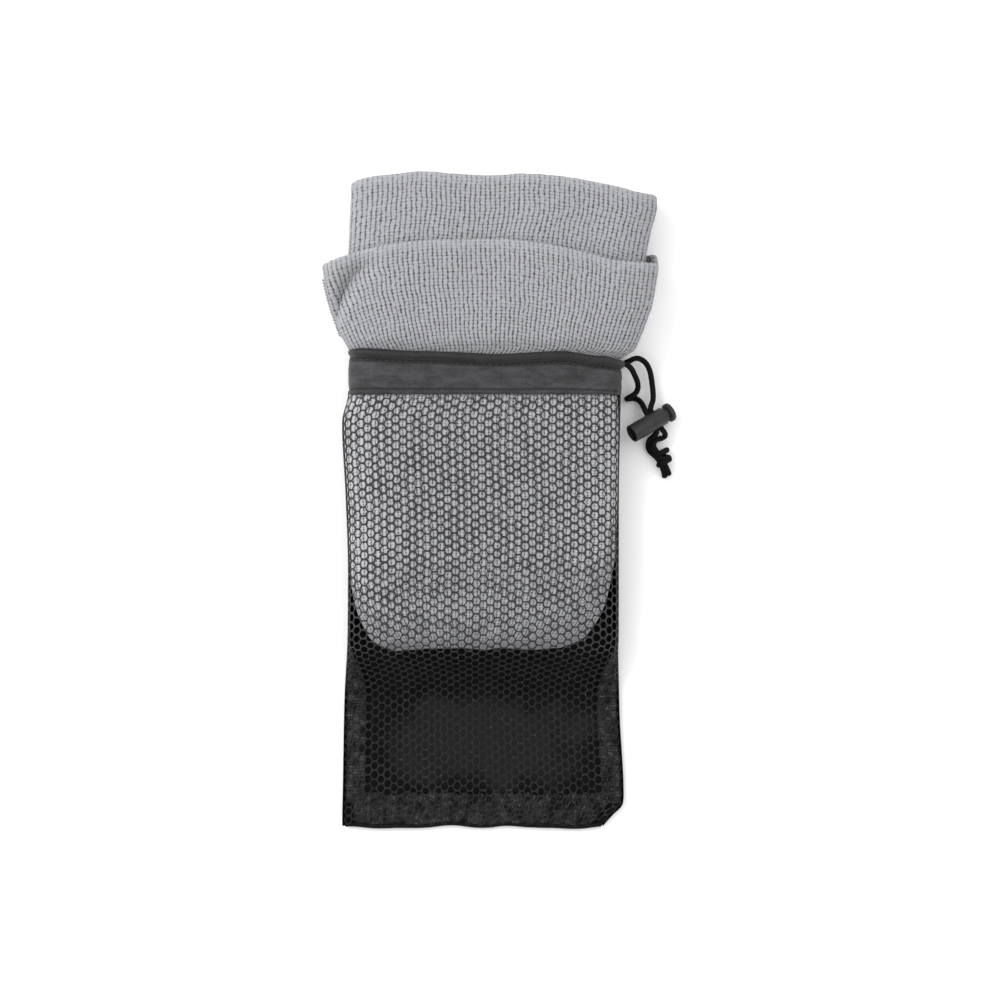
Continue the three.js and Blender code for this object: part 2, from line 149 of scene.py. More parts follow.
def route(
    points: list[Point], spacing: float, relax: int = 0
) -> Numbers:
    """A smooth line through points, with even steps.

    Args:
        points: what the line passes through, millimetres.
        spacing: length of a step, millimetres.
        relax: how many times the line is eased, to round its turns.

    Returns:
        The line's points, one row each.
    """
    p = np.asarray(points, float)
    p = np.vstack([2 * p[0] - p[1], p, 2 * p[-1] - p[-2]])
    t = np.linspace(0, 1, 24, endpoint=False)[:, None]
    runs = [
        0.5
        * (
            2 * b
            + (c - a) * t
            + (2 * a - 5 * b + 4 * c - d) * t**2
            + (3 * b - a - 3 * c + d) * t**3
        )
        for a, b, c, d in zip(p[:-3], p[1:-2], p[2:-1], p[3:])
    ]
    line = np.vstack([*runs, p[-2:-1]])
    along = run_of(line)
    count = max(4, int(round(along[-1] / spacing)))
    even = np.linspace(0, along[-1], count + 1)
    line = np.stack([np.interp(even, along, line[:, k]) for k in range(3)], axis=1)
    for _ in range(relax):
        line[1:-1] = (line[:-2] + 2 * line[1:-1] + line[2:]) / 4
    return line


def run_of(line: Numbers) -> Numbers:
    """Length along a line from its start to each of its points."""
    return np.concatenate([[0], np.cumsum(np.linalg.norm(np.diff(line, axis=0), axis=1))])


def line_length(points: Numbers) -> float:
    """Length of a line of points."""
    return float(np.linalg.norm(np.diff(points, axis=0), axis=1).sum())


# ---------------------------------------------------------------- meshes


def make_mesh(
    name: str, points: Numbers, faces: Numbers | list, cloth: Numbers | None = None
) -> bpy.types.Object:
    """A mesh object from points in millimetres.

    Args:
        name: the piece's name.
        points: one row for each vertex.
        faces: vertex numbers of each face, all quads or a list of mixed faces.
        cloth: cloth coordinates of each vertex, for the weave.

    Returns:
        The new object, linked to the scene.
    """
    mesh = bpy.data.meshes.new(name)
    if isinstance(faces, np.ndarray):
        sides = faces.shape[1]
        mesh.vertices.add(len(points))
        mesh.vertices.foreach_set("co", (points * MM).astype(np.float32).ravel())
        mesh.loops.add(faces.size)
        mesh.loops.foreach_set("vertex_index", faces.astype(np.int32).ravel())
        mesh.polygons.add(len(faces))
        mesh.polygons.foreach_set(
            "loop_start", np.arange(0, faces.size, sides, dtype=np.int32)
        )
        mesh.update(calc_edges=True)
    else:
        mesh.from_pydata((points * MM).tolist(), [], faces)
    if cloth is not None:
        corners = np.empty(len(mesh.loops), np.int32)
        mesh.loops.foreach_get("vertex_index", corners)
        layer = mesh.uv_layers.new(name="cloth")
        layer.data.foreach_set("uv", cloth[corners].astype(np.float32).ravel())
    mesh.validate(clean_customdata=False)
    mesh.shade_smooth()
    piece = bpy.data.objects.new(name, mesh)
    bpy.context.scene.collection.objects.link(piece)
    return piece


def quad_grid(rows: int, columns: int, closed: bool = False, first: int = 0) -> Numbers:
    """Faces of a grid of vertices stored row by row.

    Args:
        rows: vertex rows.
        columns: vertices in a row.
        closed: whether each row's end joins its start.
        first: number of the grid's first vertex.

    Returns:
        One row of four vertex numbers for each face.
    """
    wide = columns if closed else columns - 1
    r, c = np.meshgrid(np.arange(rows - 1), np.arange(wide), indexing="ij")
    after = (c + 1) % columns
    quads = [
        r * columns + c, r * columns + after, (r + 1) * columns + after,
        (r + 1) * columns + c,
    ]
    return first + np.stack([q.ravel() for q in quads], axis=1)


def end_rings(rows: int, columns: int) -> list[list[int]]:
    """The two faces that close a tube's first and last rings."""
    last = (rows - 1) * columns
    return [list(range(columns))[::-1], [last + c for c in range(columns)]]


def end_strips(rows: int, columns: int, turn: int) -> list[list[int]]:
    """Faces that close both ends of a folded sheet.

    Args:
        rows: vertex rings.
        columns: vertices in a ring, out along one skin and back along the other.
        turn: 1 or -1, the way round of the first end's faces.

    Returns:
        Four vertex numbers for each face.
    """
    faces = []
    for base, way in ((0, turn), ((rows - 1) * columns, -turn)):
        for c in range(columns // 2 - 1):
            quad = [base + c, base + c + 1]
            quad += [base + columns - 2 - c, base + columns - 1 - c]
            faces.append(quad[::way])
    return faces


@dataclass
class Shape:
    """Vertices and faces gathered from several closed solids."""

    points: list[Numbers] = field(default_factory=list)
    faces: list[list[int]] = field(default_factory=list)
    cloth: list[Numbers] = field(default_factory=list)
    count: int = 0

    def add(self, points: Numbers, faces: list, cloth: Numbers | None = None) -> None:
        """Adds one solid's vertices, faces and cloth coordinates."""
        self.faces += [[int(v) + self.count for v in f] for f in faces]
        self.points.append(points)
        self.cloth.append(np.zeros((len(points), 2)) if cloth is None else cloth)
        self.count += len(points)

    def piece(self, name: str) -> bpy.types.Object:
        """The mesh object of everything gathered."""
        return make_mesh(
            name, np.vstack(self.points), self.faces, np.vstack(self.cloth)
        )


def tube(
    shape: Shape,
    line: Numbers,
    radius: Numbers | float,
    sides: int = 12,
    braid: float = 0.0,
    round_ends: bool = True,
) -> None:
    """A round cord or thread along a line.

    Args:
        shape: what it is added to.
        line: its middle line, even steps.
        radius: its radius, one number or one for each step.
        sides: points in a ring.
        braid: height of the braid's plaits as a share of the radius.
        round_ends: whether the ends close in a small dome.
    """
    ahead = unit(np.gradient(line, axis=0))
    side = np.zeros_like(ahead)
    first = np.cross(ahead[0], (0, 0, 1))
    if np.linalg.norm(first) < 0.2:
        first = np.cross(ahead[0], (0, 1, 0))
    side[0] = unit(first)
    for i in range(1, len(line)):
        turned = side[i - 1] - ahead[i] * np.dot(side[i - 1], ahead[i])
        side[i] = unit(turned)
    up = np.cross(ahead, side)
    size = np.broadcast_to(np.asarray(radius, float), (len(line),)).copy()
    if round_ends:
        size[0] *= 0.55
        size[-1] *= 0.55
    along = run_of(line)
    angle = np.linspace(0, 2 * np.pi, sides, endpoint=False)
    lay = 2 * np.pi * along[:, None] / 3.4
    plait = np.sin(sides / 6 * angle[None, :] + lay) * np.sin(
        sides / 6 * angle[None, :] - lay
    )
    ring = size[:, None] * (1 + braid * plait)
    points = (
        line[:, None, :]
        + side[:, None, :] * (ring * np.cos(angle))[:, :, None]
        + up[:, None, :] * (ring * np.sin(angle))[:, :, None]
    )
    cloth = np.stack(
        [
            np.broadcast_to(angle / (2 * np.pi), ring.shape),
            np.broadcast_to(along[:, None], ring.shape),
        ],
        axis=-1,
    )
    flat = points.reshape(-1, 3)
    faces = quad_grid(len(line), sides, closed=True).tolist()
    faces += end_rings(len(line), sides)
    shape.add(flat, faces, cloth.reshape(-1, 2))


# ---------------------------------------------------------------- shader building


class Bench:
    """One material's node tree and the ways to add to it."""

    def __init__(self, name: str) -> None:
        """Makes an empty material of that name."""
        self.material = bpy.data.materials.new(name)
        self.material.use_nodes = True
        self.tree = self.material.node_tree
        self.tree.nodes.clear()

    def node(self, kind: str, settings: dict, values: dict) -> bpy.types.Node:
        """Adds one node.

        Args:
            kind: the node's type, after ShaderNode.
            settings: properties set first; a ramp's stops go under "stops".
            values: numbers, colours or Wires for its sockets, by name or number.

        Returns:
            The node.
        """
        made = self.tree.nodes.new("ShaderNode" + kind)
        for key, value in settings.items():
            if key == "stops":
                ends = made.color_ramp.elements
                while len(ends) < len(value):
                    ends.new(0.5)
                for end, (place, colour) in zip(ends, value):
                    end.position = place
                    end.color = colour
            else:
                setattr(made, key, value)
        for key, value in values.items():
            socket = made.inputs[key]
            if isinstance(value, Wire):
                self.tree.links.new(value.socket, socket)
            elif isinstance(value, tuple) and len(value) == 3 and len(
                getattr(socket, "default_value", ())
            ) == 4:
                socket.default_value = (*value, 1)
            else:
                socket.default_value = value
        return made

    def wire(self, kind: str, settings: dict, values: dict, out: str | int = 0) -> "Wire":
        """Adds one node and gives its output."""
        return Wire(self, self.node(kind, settings, values).outputs[out])

    def cloth(self) -> tuple["Wire", "Wire"]:
        """The piece's cloth coordinates, across and along."""
        place = self.wire("UVMap", {"uv_map": "cloth"}, {})
        parts = self.node("SeparateXYZ", {}, {0: place})
        return Wire(self, parts.outputs[0]), Wire(self, parts.outputs[1])

    def place(self, size: float, stretch: tuple[float, float, float] = (1, 1, 1)) -> "Wire":
        """The object's own coordinates, one unit to each size in millimetres."""
        spot = self.wire("TexCoord", {}, {}, "Object")
        scale = tuple(s / (size * MM) for s in stretch)
        return self.wire("VectorMath", {"operation": "MULTIPLY"}, {0: spot, 1: scale})

    def noise(self, where: "Wire", detail: float = 3.0, scale: float = 1.0) -> "Wire":
        """Soft noise from 0 to 1 at those coordinates."""
        return self.wire(
            "TexNoise", {}, {"Vector": where, "Scale": scale, "Detail": detail}
        )

    def spot(self) -> tuple["Wire", "Wire", "Wire"]:
        """Place in the shared frame along x, y and z, millimetres."""
        where = self.wire("TexCoord", {}, {}, "Object")
        parts = self.node("SeparateXYZ", {}, {0: where})
        x, y, z = (Wire(self, parts.outputs[k]) * 1000.0 for k in range(3))
        return x, y, z

    def pressed_painted_light(self) -> "Wire":
        """Where the empty net lies flat on the taffeta: the patch of taffeta that gets a
        painted sheen.
        """
        x, y, _ = self.spot()
        stray = self.noise(self.place(24.0), 2) - 0.5
        across, down = (x + 1.0) / 53.0, (y + 121.0) / 24.0
        return 1.0 - (across * across + down * down + stray * 2.6).between(0.35, 1.35)

    def vector(self, x: "Wire", y: "Wire") -> "Wire":
        """Two wires as one vector."""
        return self.wire("CombineXYZ", {}, {0: x, 1: y})

    def blend(
        self, share: "Wire", a: "tuple | Wire", b: "tuple | Wire", how: str = "MIX"
    ) -> "Wire":
        """A colour between a and b."""
        return self.wire(
            "Mix",
            {"data_type": "RGBA", "blend_type": how, "clamp_factor": True},
            {0: share, 6: a, 7: b},
            2,
        )

    def finish(
        self, height: "Wire", depth: float, strength: float = 1.0, **values: object
    ) -> bpy.types.Material:
        """Ends the material in one surface with a relief.

        Args:
            height: the relief, from 0 to about 1.
            depth: how deep the relief is, millimetres.
            strength: how strongly it shows.
            values: the surface's sockets, with _ for a space.

        Returns:
            The material.
        """
        relief = self.wire(
            "Bump",
            {},
            {"Strength": strength, "Distance": depth * MM, "Height": height},
        )
        sockets = {key.replace("_", " "): value for key, value in values.items()}
        surface = self.node("BsdfPrincipled", {}, {"Normal": relief, **sockets})
        out = self.tree.nodes.new("ShaderNodeOutputMaterial")
        self.tree.links.new(surface.outputs[0], out.inputs[0])
        return self.material


class Wire:
    """A node's output, with the arithmetic that adds Math nodes."""

    def __init__(self, bench: Bench, socket: bpy.types.NodeSocket) -> None:
        """Wraps one output."""
        self.bench, self.socket = bench, socket

    def maths(self, how: str, *others: "Wire | float") -> "Wire":
        """This value through a Math node, with the others after it."""
        values = dict(enumerate((self, *others)))
        return self.bench.wire("Math", {"operation": how}, values)

    def __add__(self, other: "Wire | float") -> "Wire":
        """Sum."""
        return self.maths("ADD", other)

    __radd__ = __add__

    def __mul__(self, other: "Wire | float") -> "Wire":
        """Product."""
        return self.maths("MULTIPLY", other)

    __rmul__ = __mul__

    def __sub__(self, other: "Wire | float") -> "Wire":
        """Difference."""
        return self.maths("SUBTRACT", other)

    def __rsub__(self, other: float) -> "Wire":
        """A number less this value."""
        return (self * -1.0) + other

    def __truediv__(self, other: "Wire | float") -> "Wire":
        """Quotient."""
        return self.maths("DIVIDE", other)

    def __abs__(self) -> "Wire":
        """Size without sign."""
        return self.maths("ABSOLUTE")

    def wave(self) -> "Wire":
        """Size of a sine with one hump for each unit."""
        return abs((self * math.pi).maths("SINE"))

    def between(self, low: float, high: float) -> "Wire":
        """Smooth rise from 0 at low to 1 at high."""
        return self.bench.wire(
            "MapRange",
            {"interpolation_type": "SMOOTHSTEP"},
            {"Value": self, "From Min": low, "From Max": high},
        )


# ---------------------------------------------------------------- finishes


@dataclass(frozen=True)
class TowelPile:
    """Grey microfibre pile in ribs of small pearls."""

    # Colour of the painted shade in the grooves and gaps between the pearls.
    groove_shade: Colour = (0.048, 0.049, 0.053)
    pearl: Colour = (0.331, 0.334, 0.351)
    # Pile pressed flat under the net, painted paler as painted light.
    pressed_painted_light: Colour = (0.418, 0.421, 0.438)
    fibre_size: float = 0.42

    def material(self) -> bpy.types.Material:
        """Ribs and pearls from the cloth coordinates, with fibres over them, painted shade
        in the grooves, a painted highlight along the folded edge and paler painted light
        under the net.
        """
        bench = Bench("towel_pile")
        across, along = bench.cloth()
        where = bench.vector(across * 2.28, along * 1.6)
        stray = bench.noise(where, 3, 0.9)
        bend = bench.noise(where, 1, 0.22)
        rib = (across + (stray - 0.5) * 0.5 + (bend - 0.5) * 0.4).wave()
        pearl = (along + (stray - 0.5) * 0.8).wave()
        lump = bench.noise(where, 2, 0.6)
        fibre = bench.noise(where, 4, 1.0 / self.fibre_size)
        # Painted shade: grooves and gaps between pearls darken the colour as well as the
        # relief.
        groove_shade = 1.0 - rib.between(0.0, 0.8)
        gap = 1.0 - pearl.between(0.0, 0.75)
        worn = lump.between(0.25, 0.75)
        hollow = groove_shade * (gap * 0.5 + 0.62) * (worn * 0.9 + 0.5) + gap * 0.36 * worn
        relief = 1.0 - hollow + (fibre - 0.5) * 0.5
        # Painted highlight: lighter pile and shallower painted groove shade along the
        # folded top edge.
        rim = 1.0 - abs(along).between(0.4, 2.6)
        tone = 1.0 - hollow * (1.0 - rim * 0.45) + (fibre - 0.5) * 0.8 + rim * 0.06
        # Painted light: the pile turns paler under the net, below y 48 to 56 mm.
        netted = 1.0 - bench.spot()[1].between(48.0, 56.0)
        pile = bench.blend(netted, self.pearl, self.pressed_painted_light)
        colour = bench.blend((tone - worn * 0.12).between(-0.15, 1.2), self.groove_shade, pile)
        return bench.finish(
            relief,
            0.42,
            0.85,
            Base_Color=colour,
            Roughness=0.95,
            Specular_IOR_Level=0.12,
            Sheen_Weight=0.12,
            Sheen_Roughness=0.6,
        )


@dataclass(frozen=True)
class NetYarn:
    """Warp-knitted polyester net, dark, with painted glints in small random specks."""

    deep: Colour = (0.005, 0.005, 0.0056)
    slack: Colour = (0.0215, 0.0215, 0.0231)
    # Thread colour over the towel, lighter as painted light.
    towel_lit: Colour = (0.078, 0.078, 0.083)
    glint: Colour = (0.15, 0.15, 0.155)

    def material(self) -> bpy.types.Material:
        """Fine threads along the net's bars, lighter over the towel as painted light."""
        bench = Bench("net_yarn")
        strands = bench.noise(bench.place(0.35), 4)
        patches = bench.noise(bench.place(9.0), 2)
        # Painted glints: small bright specks scattered over the threads.
        sparks = bench.noise(bench.place(0.9), 2).between(0.66, 0.74)
        # Painted light: the threads turn lighter where they lie over the towel, above y -79
        # to -73 mm.
        over_towel = bench.spot()[1].between(-79.0, -73.0)
        light = bench.blend(over_towel, self.slack, self.towel_lit)
        tone = strands.between(0.35, 0.72) * (patches * 0.6 + 0.5)
        plain = bench.blend(tone, self.deep, light)
        return bench.finish(
            strands,
            0.12,
            0.8,
            Base_Color=bench.blend(sparks * 0.6, plain, self.glint),
            Roughness=strands * 0.35 + 0.34,
            Specular_IOR_Level=0.2,
        )


@dataclass(frozen=True)
class Taffeta:
    """Thin black coated taffeta."""

    name: str = "taffeta_black"
    base: Colour = (0.0010, 0.0010, 0.0012)
    light: Colour = (0.0032, 0.0032, 0.0036)
    # shine: colour of the painted sheen patch where the net lies flat.
    shine: Colour = (0.0165, 0.0165, 0.0175)
    roughness: float = 0.42

    def material(self) -> bpy.types.Material:
        """Plain weave and soft creases, darker in the crease hollows as painted shade, with
        a painted sheen patch where the net lies flat.
        """
        bench = Bench(self.name)
        x, y, _ = bench.spot()
        weave = (x * 2.6).wave() * 0.5 + (y * 2.6).wave() * 0.5
        creases = bench.noise(bench.place(14.0, (1, 0.45, 1)), 4)
        # Painted shade: the colour darkens in the crease hollows, following the creases'
        # relief.
        plain = bench.blend(weave * 0.4 + creases * 0.6, self.base, self.light)
        return bench.finish(
            weave * 0.25 + creases * 0.9,
            0.5,
            0.6,
            # Painted sheen in the patch where the empty net lies flat.
            Base_Color=bench.blend(bench.pressed_painted_light(), plain, self.shine),
            Roughness=creases * 0.3 + (self.roughness - 0.15),
            Specular_IOR_Level=0.09,
        )


@dataclass(frozen=True)
class SeamCloth:
    """Raw-edged net and taffeta inside a seam, overlocked and a little hairy."""

    base: Colour = (0.004, 0.004, 0.0045)
    light: Colour = (0.094, 0.0955, 0.0975)

    def material(self) -> bpy.types.Material:
        """Crosswise overlock loops with lint."""
        bench = Bench("seam_cloth")
        _, along = bench.cloth()
        loops = (along / 1.6).wave()
        lint = bench.noise(bench.place(0.6), 5)
        clumps = bench.noise(bench.place(4.5), 3)
        tone = (loops * 0.3 + lint.between(0.47, 0.64) * 0.8) * clumps.between(0.32, 0.66)
        return bench.finish(
            loops * 0.6 + lint,
            0.4,
            0.9,
            Base_Color=bench.blend(tone, self.base, self.light),
            Roughness=0.9,
            Specular_IOR_Level=0.2,
        )


@dataclass(frozen=True)
class CasingSatin:
    """Charcoal band cloth with a crosswise slub and a low sheen."""

    deep: Colour = (0.010, 0.010, 0.0108)
    light: Colour = (0.055, 0.056, 0.0595)
    # Colour of the painted shade on the cord's roll and in its shadow lines.
    roll: Colour = (0.006, 0.006, 0.0065)

    def material(self) -> bpy.types.Material:
        """Slubs drawn out along the band over a fine weave, with painted shade on the
        cord's roll, a painted shadow line in the crease under it and another at the stitch
        dip near the band's foot.
        """
        bench = Bench("casing_satin")
        slub = bench.noise(bench.place(1.7, (0.3, 1, 0.4)), 4)
        broad = bench.noise(bench.place(11.0, (1, 2.2, 1)), 2)
        thread = bench.noise(bench.place(0.45, (0.6, 1, 0.6)), 2)
        _, down = bench.cloth()
        # Painted shade: the cord's roll, and the hidden inner band, darker than the flat
        # band.
        rolled = 1.0 - down.between(0.56, 0.63)
        # Painted shadow line in the crease just under the roll.
        crease_shade = down.between(0.585, 0.605) * (1.0 - down.between(0.645, 0.675))
        # Painted shadow line along the stitch dip near the band's foot.
        fold = down.between(0.915, 0.925) * (1.0 - down.between(0.935, 0.945))
        # The painted shade and shadow lines, combined.
        dark = (rolled * 0.68).maths("MAXIMUM", crease_shade * 0.9)
        dark = dark.maths("MAXIMUM", fold * 0.85)
        tone = slub.between(0.25, 0.75) * 0.26 + broad.between(0.2, 0.8) * 0.3
        tone = tone + (thread - 0.5) * 0.8 + 0.16
        band = bench.blend(tone.between(0, 1), self.deep, self.light)
        colour = bench.blend(dark, band, self.roll)
        return bench.finish(
            slub * 0.8 + thread * 0.6,
            0.2,
            0.9,
            Base_Color=colour,
            Roughness=slub * 0.25 + 0.42,
            Specular_IOR_Level=0.25,
            Sheen_Weight=0.04,
        )


@dataclass(frozen=True)
class Thread:
    """Twisted sewing thread."""

    name: str
    deep: Colour
    light: Colour

    def material(self) -> bpy.types.Material:
        """Two plies wound round each other."""
        bench = Bench(self.name)
        across, along = bench.cloth()
        ply = (across * 2.0 + along * 1.4).wave()
        fuzz = bench.noise(bench.place(0.3), 3)
        tone = ply * 0.6 + fuzz * 0.5
        return bench.finish(
            ply + fuzz * 0.3,
            0.08,
            0.9,
            Base_Color=bench.blend(tone, self.deep, self.light),
            Roughness=0.6,
            Specular_IOR_Level=0.3,
        )


@dataclass(frozen=True)
class BraidedCord:
    """Soft black braided polyester cord."""

    deep: Colour = (0.0014, 0.0014, 0.0016)
    light: Colour = (0.0062, 0.0062, 0.007)

    def material(self) -> bpy.types.Material:
        """Plaits crossing round the cord, with fine fuzz."""
        bench = Bench("drawcord_braid")
        across, along = bench.cloth()
        left = (across * 4.0 + along / 1.7).wave()
        right = (across * 4.0 - along / 1.7).wave()
        plait = left.maths("MAXIMUM", right)
        fuzz = bench.noise(bench.place(0.35), 4)
        tone = plait * fuzz
        return bench.finish(
            plait * 0.7 + fuzz * 0.5,
            0.22,
            0.9,
            Base_Color=bench.blend(tone, self.deep, self.light),
            Roughness=0.72,
            Specular_IOR_Level=0.1,
        )


@dataclass(frozen=True)
class LockPlastic:
    """Black moulded plastic with a fine satin skin."""

    colour: Colour = (0.012, 0.012, 0.0127)
    worn: Colour = (0.024, 0.024, 0.0252)
    # Near-black painted shade inside the open end's recess.
    inside: Colour = (0.0008, 0.0008, 0.0009)

    def material(self) -> bpy.types.Material:
        """Fine spark-eroded grain, handled smoother in patches, with painted shade in the
        open end's recess.
        """
        bench = Bench("lock_plastic")
        grain = bench.noise(bench.place(0.22), 3)
        handling = bench.noise(bench.place(3.5), 2)
        place = LockPlace()
        offset = [c - float(e) for c, e in zip(bench.spot(), place.end)]
        along = offset[0] * float(place.axis[0]) + offset[1] * float(place.axis[1])
        along = along + offset[2] * float(place.axis[2])
        reach = offset[0] * offset[0] + offset[1] * offset[1] + offset[2] * offset[2]
        # Painted shade: the recess at the open end, within about 3.7 mm of the axis and 4.6
        # mm of the end, turns near black.
        cup_shade = 1.0 - (reach - along * along).between(13.4, 14.6)
        cup_shade = cup_shade * (1.0 - along.between(4.0, 4.6))
        skin = bench.blend(handling, self.colour, self.worn)
        return bench.finish(
            grain,
            0.03,
            0.5,
            Base_Color=bench.blend(cup_shade, skin, self.inside),
            Roughness=handling * 0.2 + 0.3,
            Specular_IOR_Level=0.28,
        )


@dataclass(frozen=True)
class SpringSteel:
    """Drawn spring wire."""

    def material(self) -> bpy.types.Material:
        """Bright wire with drawing marks."""
        bench = Bench("spring_steel")
        marks = bench.noise(bench.place(0.15, (1, 1, 4)), 2)
        return bench.finish(
            marks,
            0.01,
            0.5,
            Base_Color=(0.56, 0.56, 0.55),
            Metallic=1.0,
            Roughness=marks * 0.2 + 0.2,
        )


@dataclass(frozen=True)
class StudioFloor:
    """Plain pale table."""

    def material(self) -> bpy.types.Material:
        """Matt white with the faintest mottling."""
        bench = Bench("studio_floor")
        mottle = bench.noise(bench.place(30.0), 2)
        return bench.finish(
            mottle,
            0.01,
            0.1,
            Base_Color=bench.blend(mottle, (0.94, 0.94, 0.94), (0.96, 0.96, 0.96)),
            Roughness=0.9,
            Specular_IOR_Level=0.1,
        )


class Stock:
    """Every finish, made once."""

    def __init__(self) -> None:
        """Makes the materials."""
        self.pile = TowelPile().material()
        self.net = NetYarn().material()
        self.taffeta = Taffeta().material()
        self.seam = SeamCloth().material()
        self.satin = CasingSatin().material()
        self.dark_thread = Thread(
            "thread_charcoal", (0.008, 0.008, 0.009), (0.045, 0.045, 0.048)
        ).material()
        self.grey_thread = Thread(
            "thread_grey", (0.14, 0.14, 0.15), (0.36, 0.36, 0.38)
        ).material()
        self.cord = BraidedCord().material()
        self.plastic = LockPlastic().material()
        self.steel = SpringSteel().material()


def dress(
    piece: bpy.types.Object,
    finish: bpy.types.Material,
    nodes: tuple[str, ...],
) -> bpy.types.Object:
    """Gives a piece its finish and says which nodes it stands for."""
    piece.data.materials.clear()
    piece.data.materials.append(finish)
    piece.name = f"{nodes[0]}_finished"
    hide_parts(*nodes)
    return piece


# ---------------------------------------------------------------- the pouch's form


class Face(Enum):
    """Which side of the flattened oval a piece lies on."""

    FRONT = 1
    BACK = -1


@dataclass(frozen=True)
class Oval:
    """A flattened oval section: arrays of one value or of one for each point."""

    left: Numbers
    right: Numbers
    low: Numbers
    height: Numbers
    seam: Numbers
    crown: Numbers

    def part(self, pick: int | tuple) -> "Oval":
        """The section of one row, or every row's as a column."""
        return Oval(*(values[pick] for values in vars(self).values()))

    def at(self, angle: Numbers, inset: Numbers | float = 0.0) -> tuple[Numbers, Numbers]:
        """X and Z at an angle from the right seam, the front being up."""
        across, up = np.cos(angle), np.sin(angle)
        half = (self.right - self.left) / 2 - inset
        rise = np.where(
            up > 0, self.height - self.seam - inset, self.seam - self.low - inset
        )
        power = 2 / np.where(up > 0, self.crown, 6.0)
        x = (self.left + self.right) / 2 + half * np.sign(across) * (
            np.abs(across) ** power
        )
        return x, self.seam + rise * np.sign(up) * np.abs(up) ** power


@dataclass
class PouchForm:
    """The pouch's outer form: y, left, right, height, seam and crown of its stations."""

    stations: tuple[tuple[float, ...], ...] = (
        (-163.5, -74, 56, 3.8, 1.9, 6), (-158, -74, 60.7, 3.8, 1.9, 6),
        (-152, -73.9, 65.6, 3.8, 1.9, 6), (-148, -73.8, 66, 3.8, 1.9, 6),
        (-108, -73.1, 64, 3.8, 1.9, 6), (-98, -72.8, 63.7, 5.4, 2.2, 4),
        (-88, -72.3, 63.5, 12.5, 4, 3.4), (-78, -71.8, 63.4, 23.5, 7, 3.4),
        (-68, -71.4, 63.6, 29.6, 11, 3.8), (-35, -71.1, 63.6, 30.5, 13.5, 4),
        (0, -72.2, 63.6, 30.5, 14, 4), (38, -74, 64.2, 30.5, 14.5, 4),
        (52.7, -71, 64.5, 29.5, 14.5, 4), (76, -71, 64.5, 29.5, 14.5, 4),
    )
    edge_at: tuple[float, ...] = (-71, -35, 4, 35, 55, 65)
    edge: tuple[float, ...] = (72.6, 71.1, 69.6, 70.9, 68.6, 67)

    def section(self, y: Numbers) -> Oval:
        """The oval section at y."""
        columns = list(zip(*self.stations))
        left, right, height, seam, crown = (
            smooth_table(columns[0], columns[i], y) for i in range(1, 6)
        )
        return Oval(left, right, np.zeros_like(left), height, seam, crown)

    def mouth_edge(self, x: Numbers) -> Numbers:
        """Y of the middle of the cord's channel at x."""
        i = np.clip(np.searchsorted(self.edge_at, x, side="right") - 1, 0, 4)
        at, edge = np.asarray(self.edge_at), np.asarray(self.edge)
        t = np.clip((x - at[i]) / (at[i + 1] - at[i]), 0, 1)
        t = t * t * (3 - 2 * t)
        return edge[i] * (1 - t) + edge[i + 1] * t

    def even_angles(self, oval: Oval, face: Face, count: int, inset: float) -> Numbers:
        """Angles that space points evenly from the left seam to the right one.

        Args:
            oval: sections, one for each row.
            face: front or back.
            count: points in each row.
            inset: how far inside the oval they lie.

        Returns:
            One row of angles for each section.
        """
        fine = np.pi * (1 - 2 * rounded_turn(np.linspace(0, 0.5, 1201))) * face.value
        out = np.empty((len(oval.left), count))
        for i in range(len(oval.left)):
            x, z = oval.part(i).at(fine, inset)
            along = np.concatenate([[0], np.cumsum(np.hypot(np.diff(x), np.diff(z)))])
            even = np.linspace(0, along[-1], count)
            out[i] = np.interp(even, along, fine)
        return out


def cloth_rows() -> Numbers:
    """Y of a cloth table's rows, from the pouch's foot to its mouth."""
    return np.linspace(POUCH_FOOT, POUCH_MOUTH, 480)


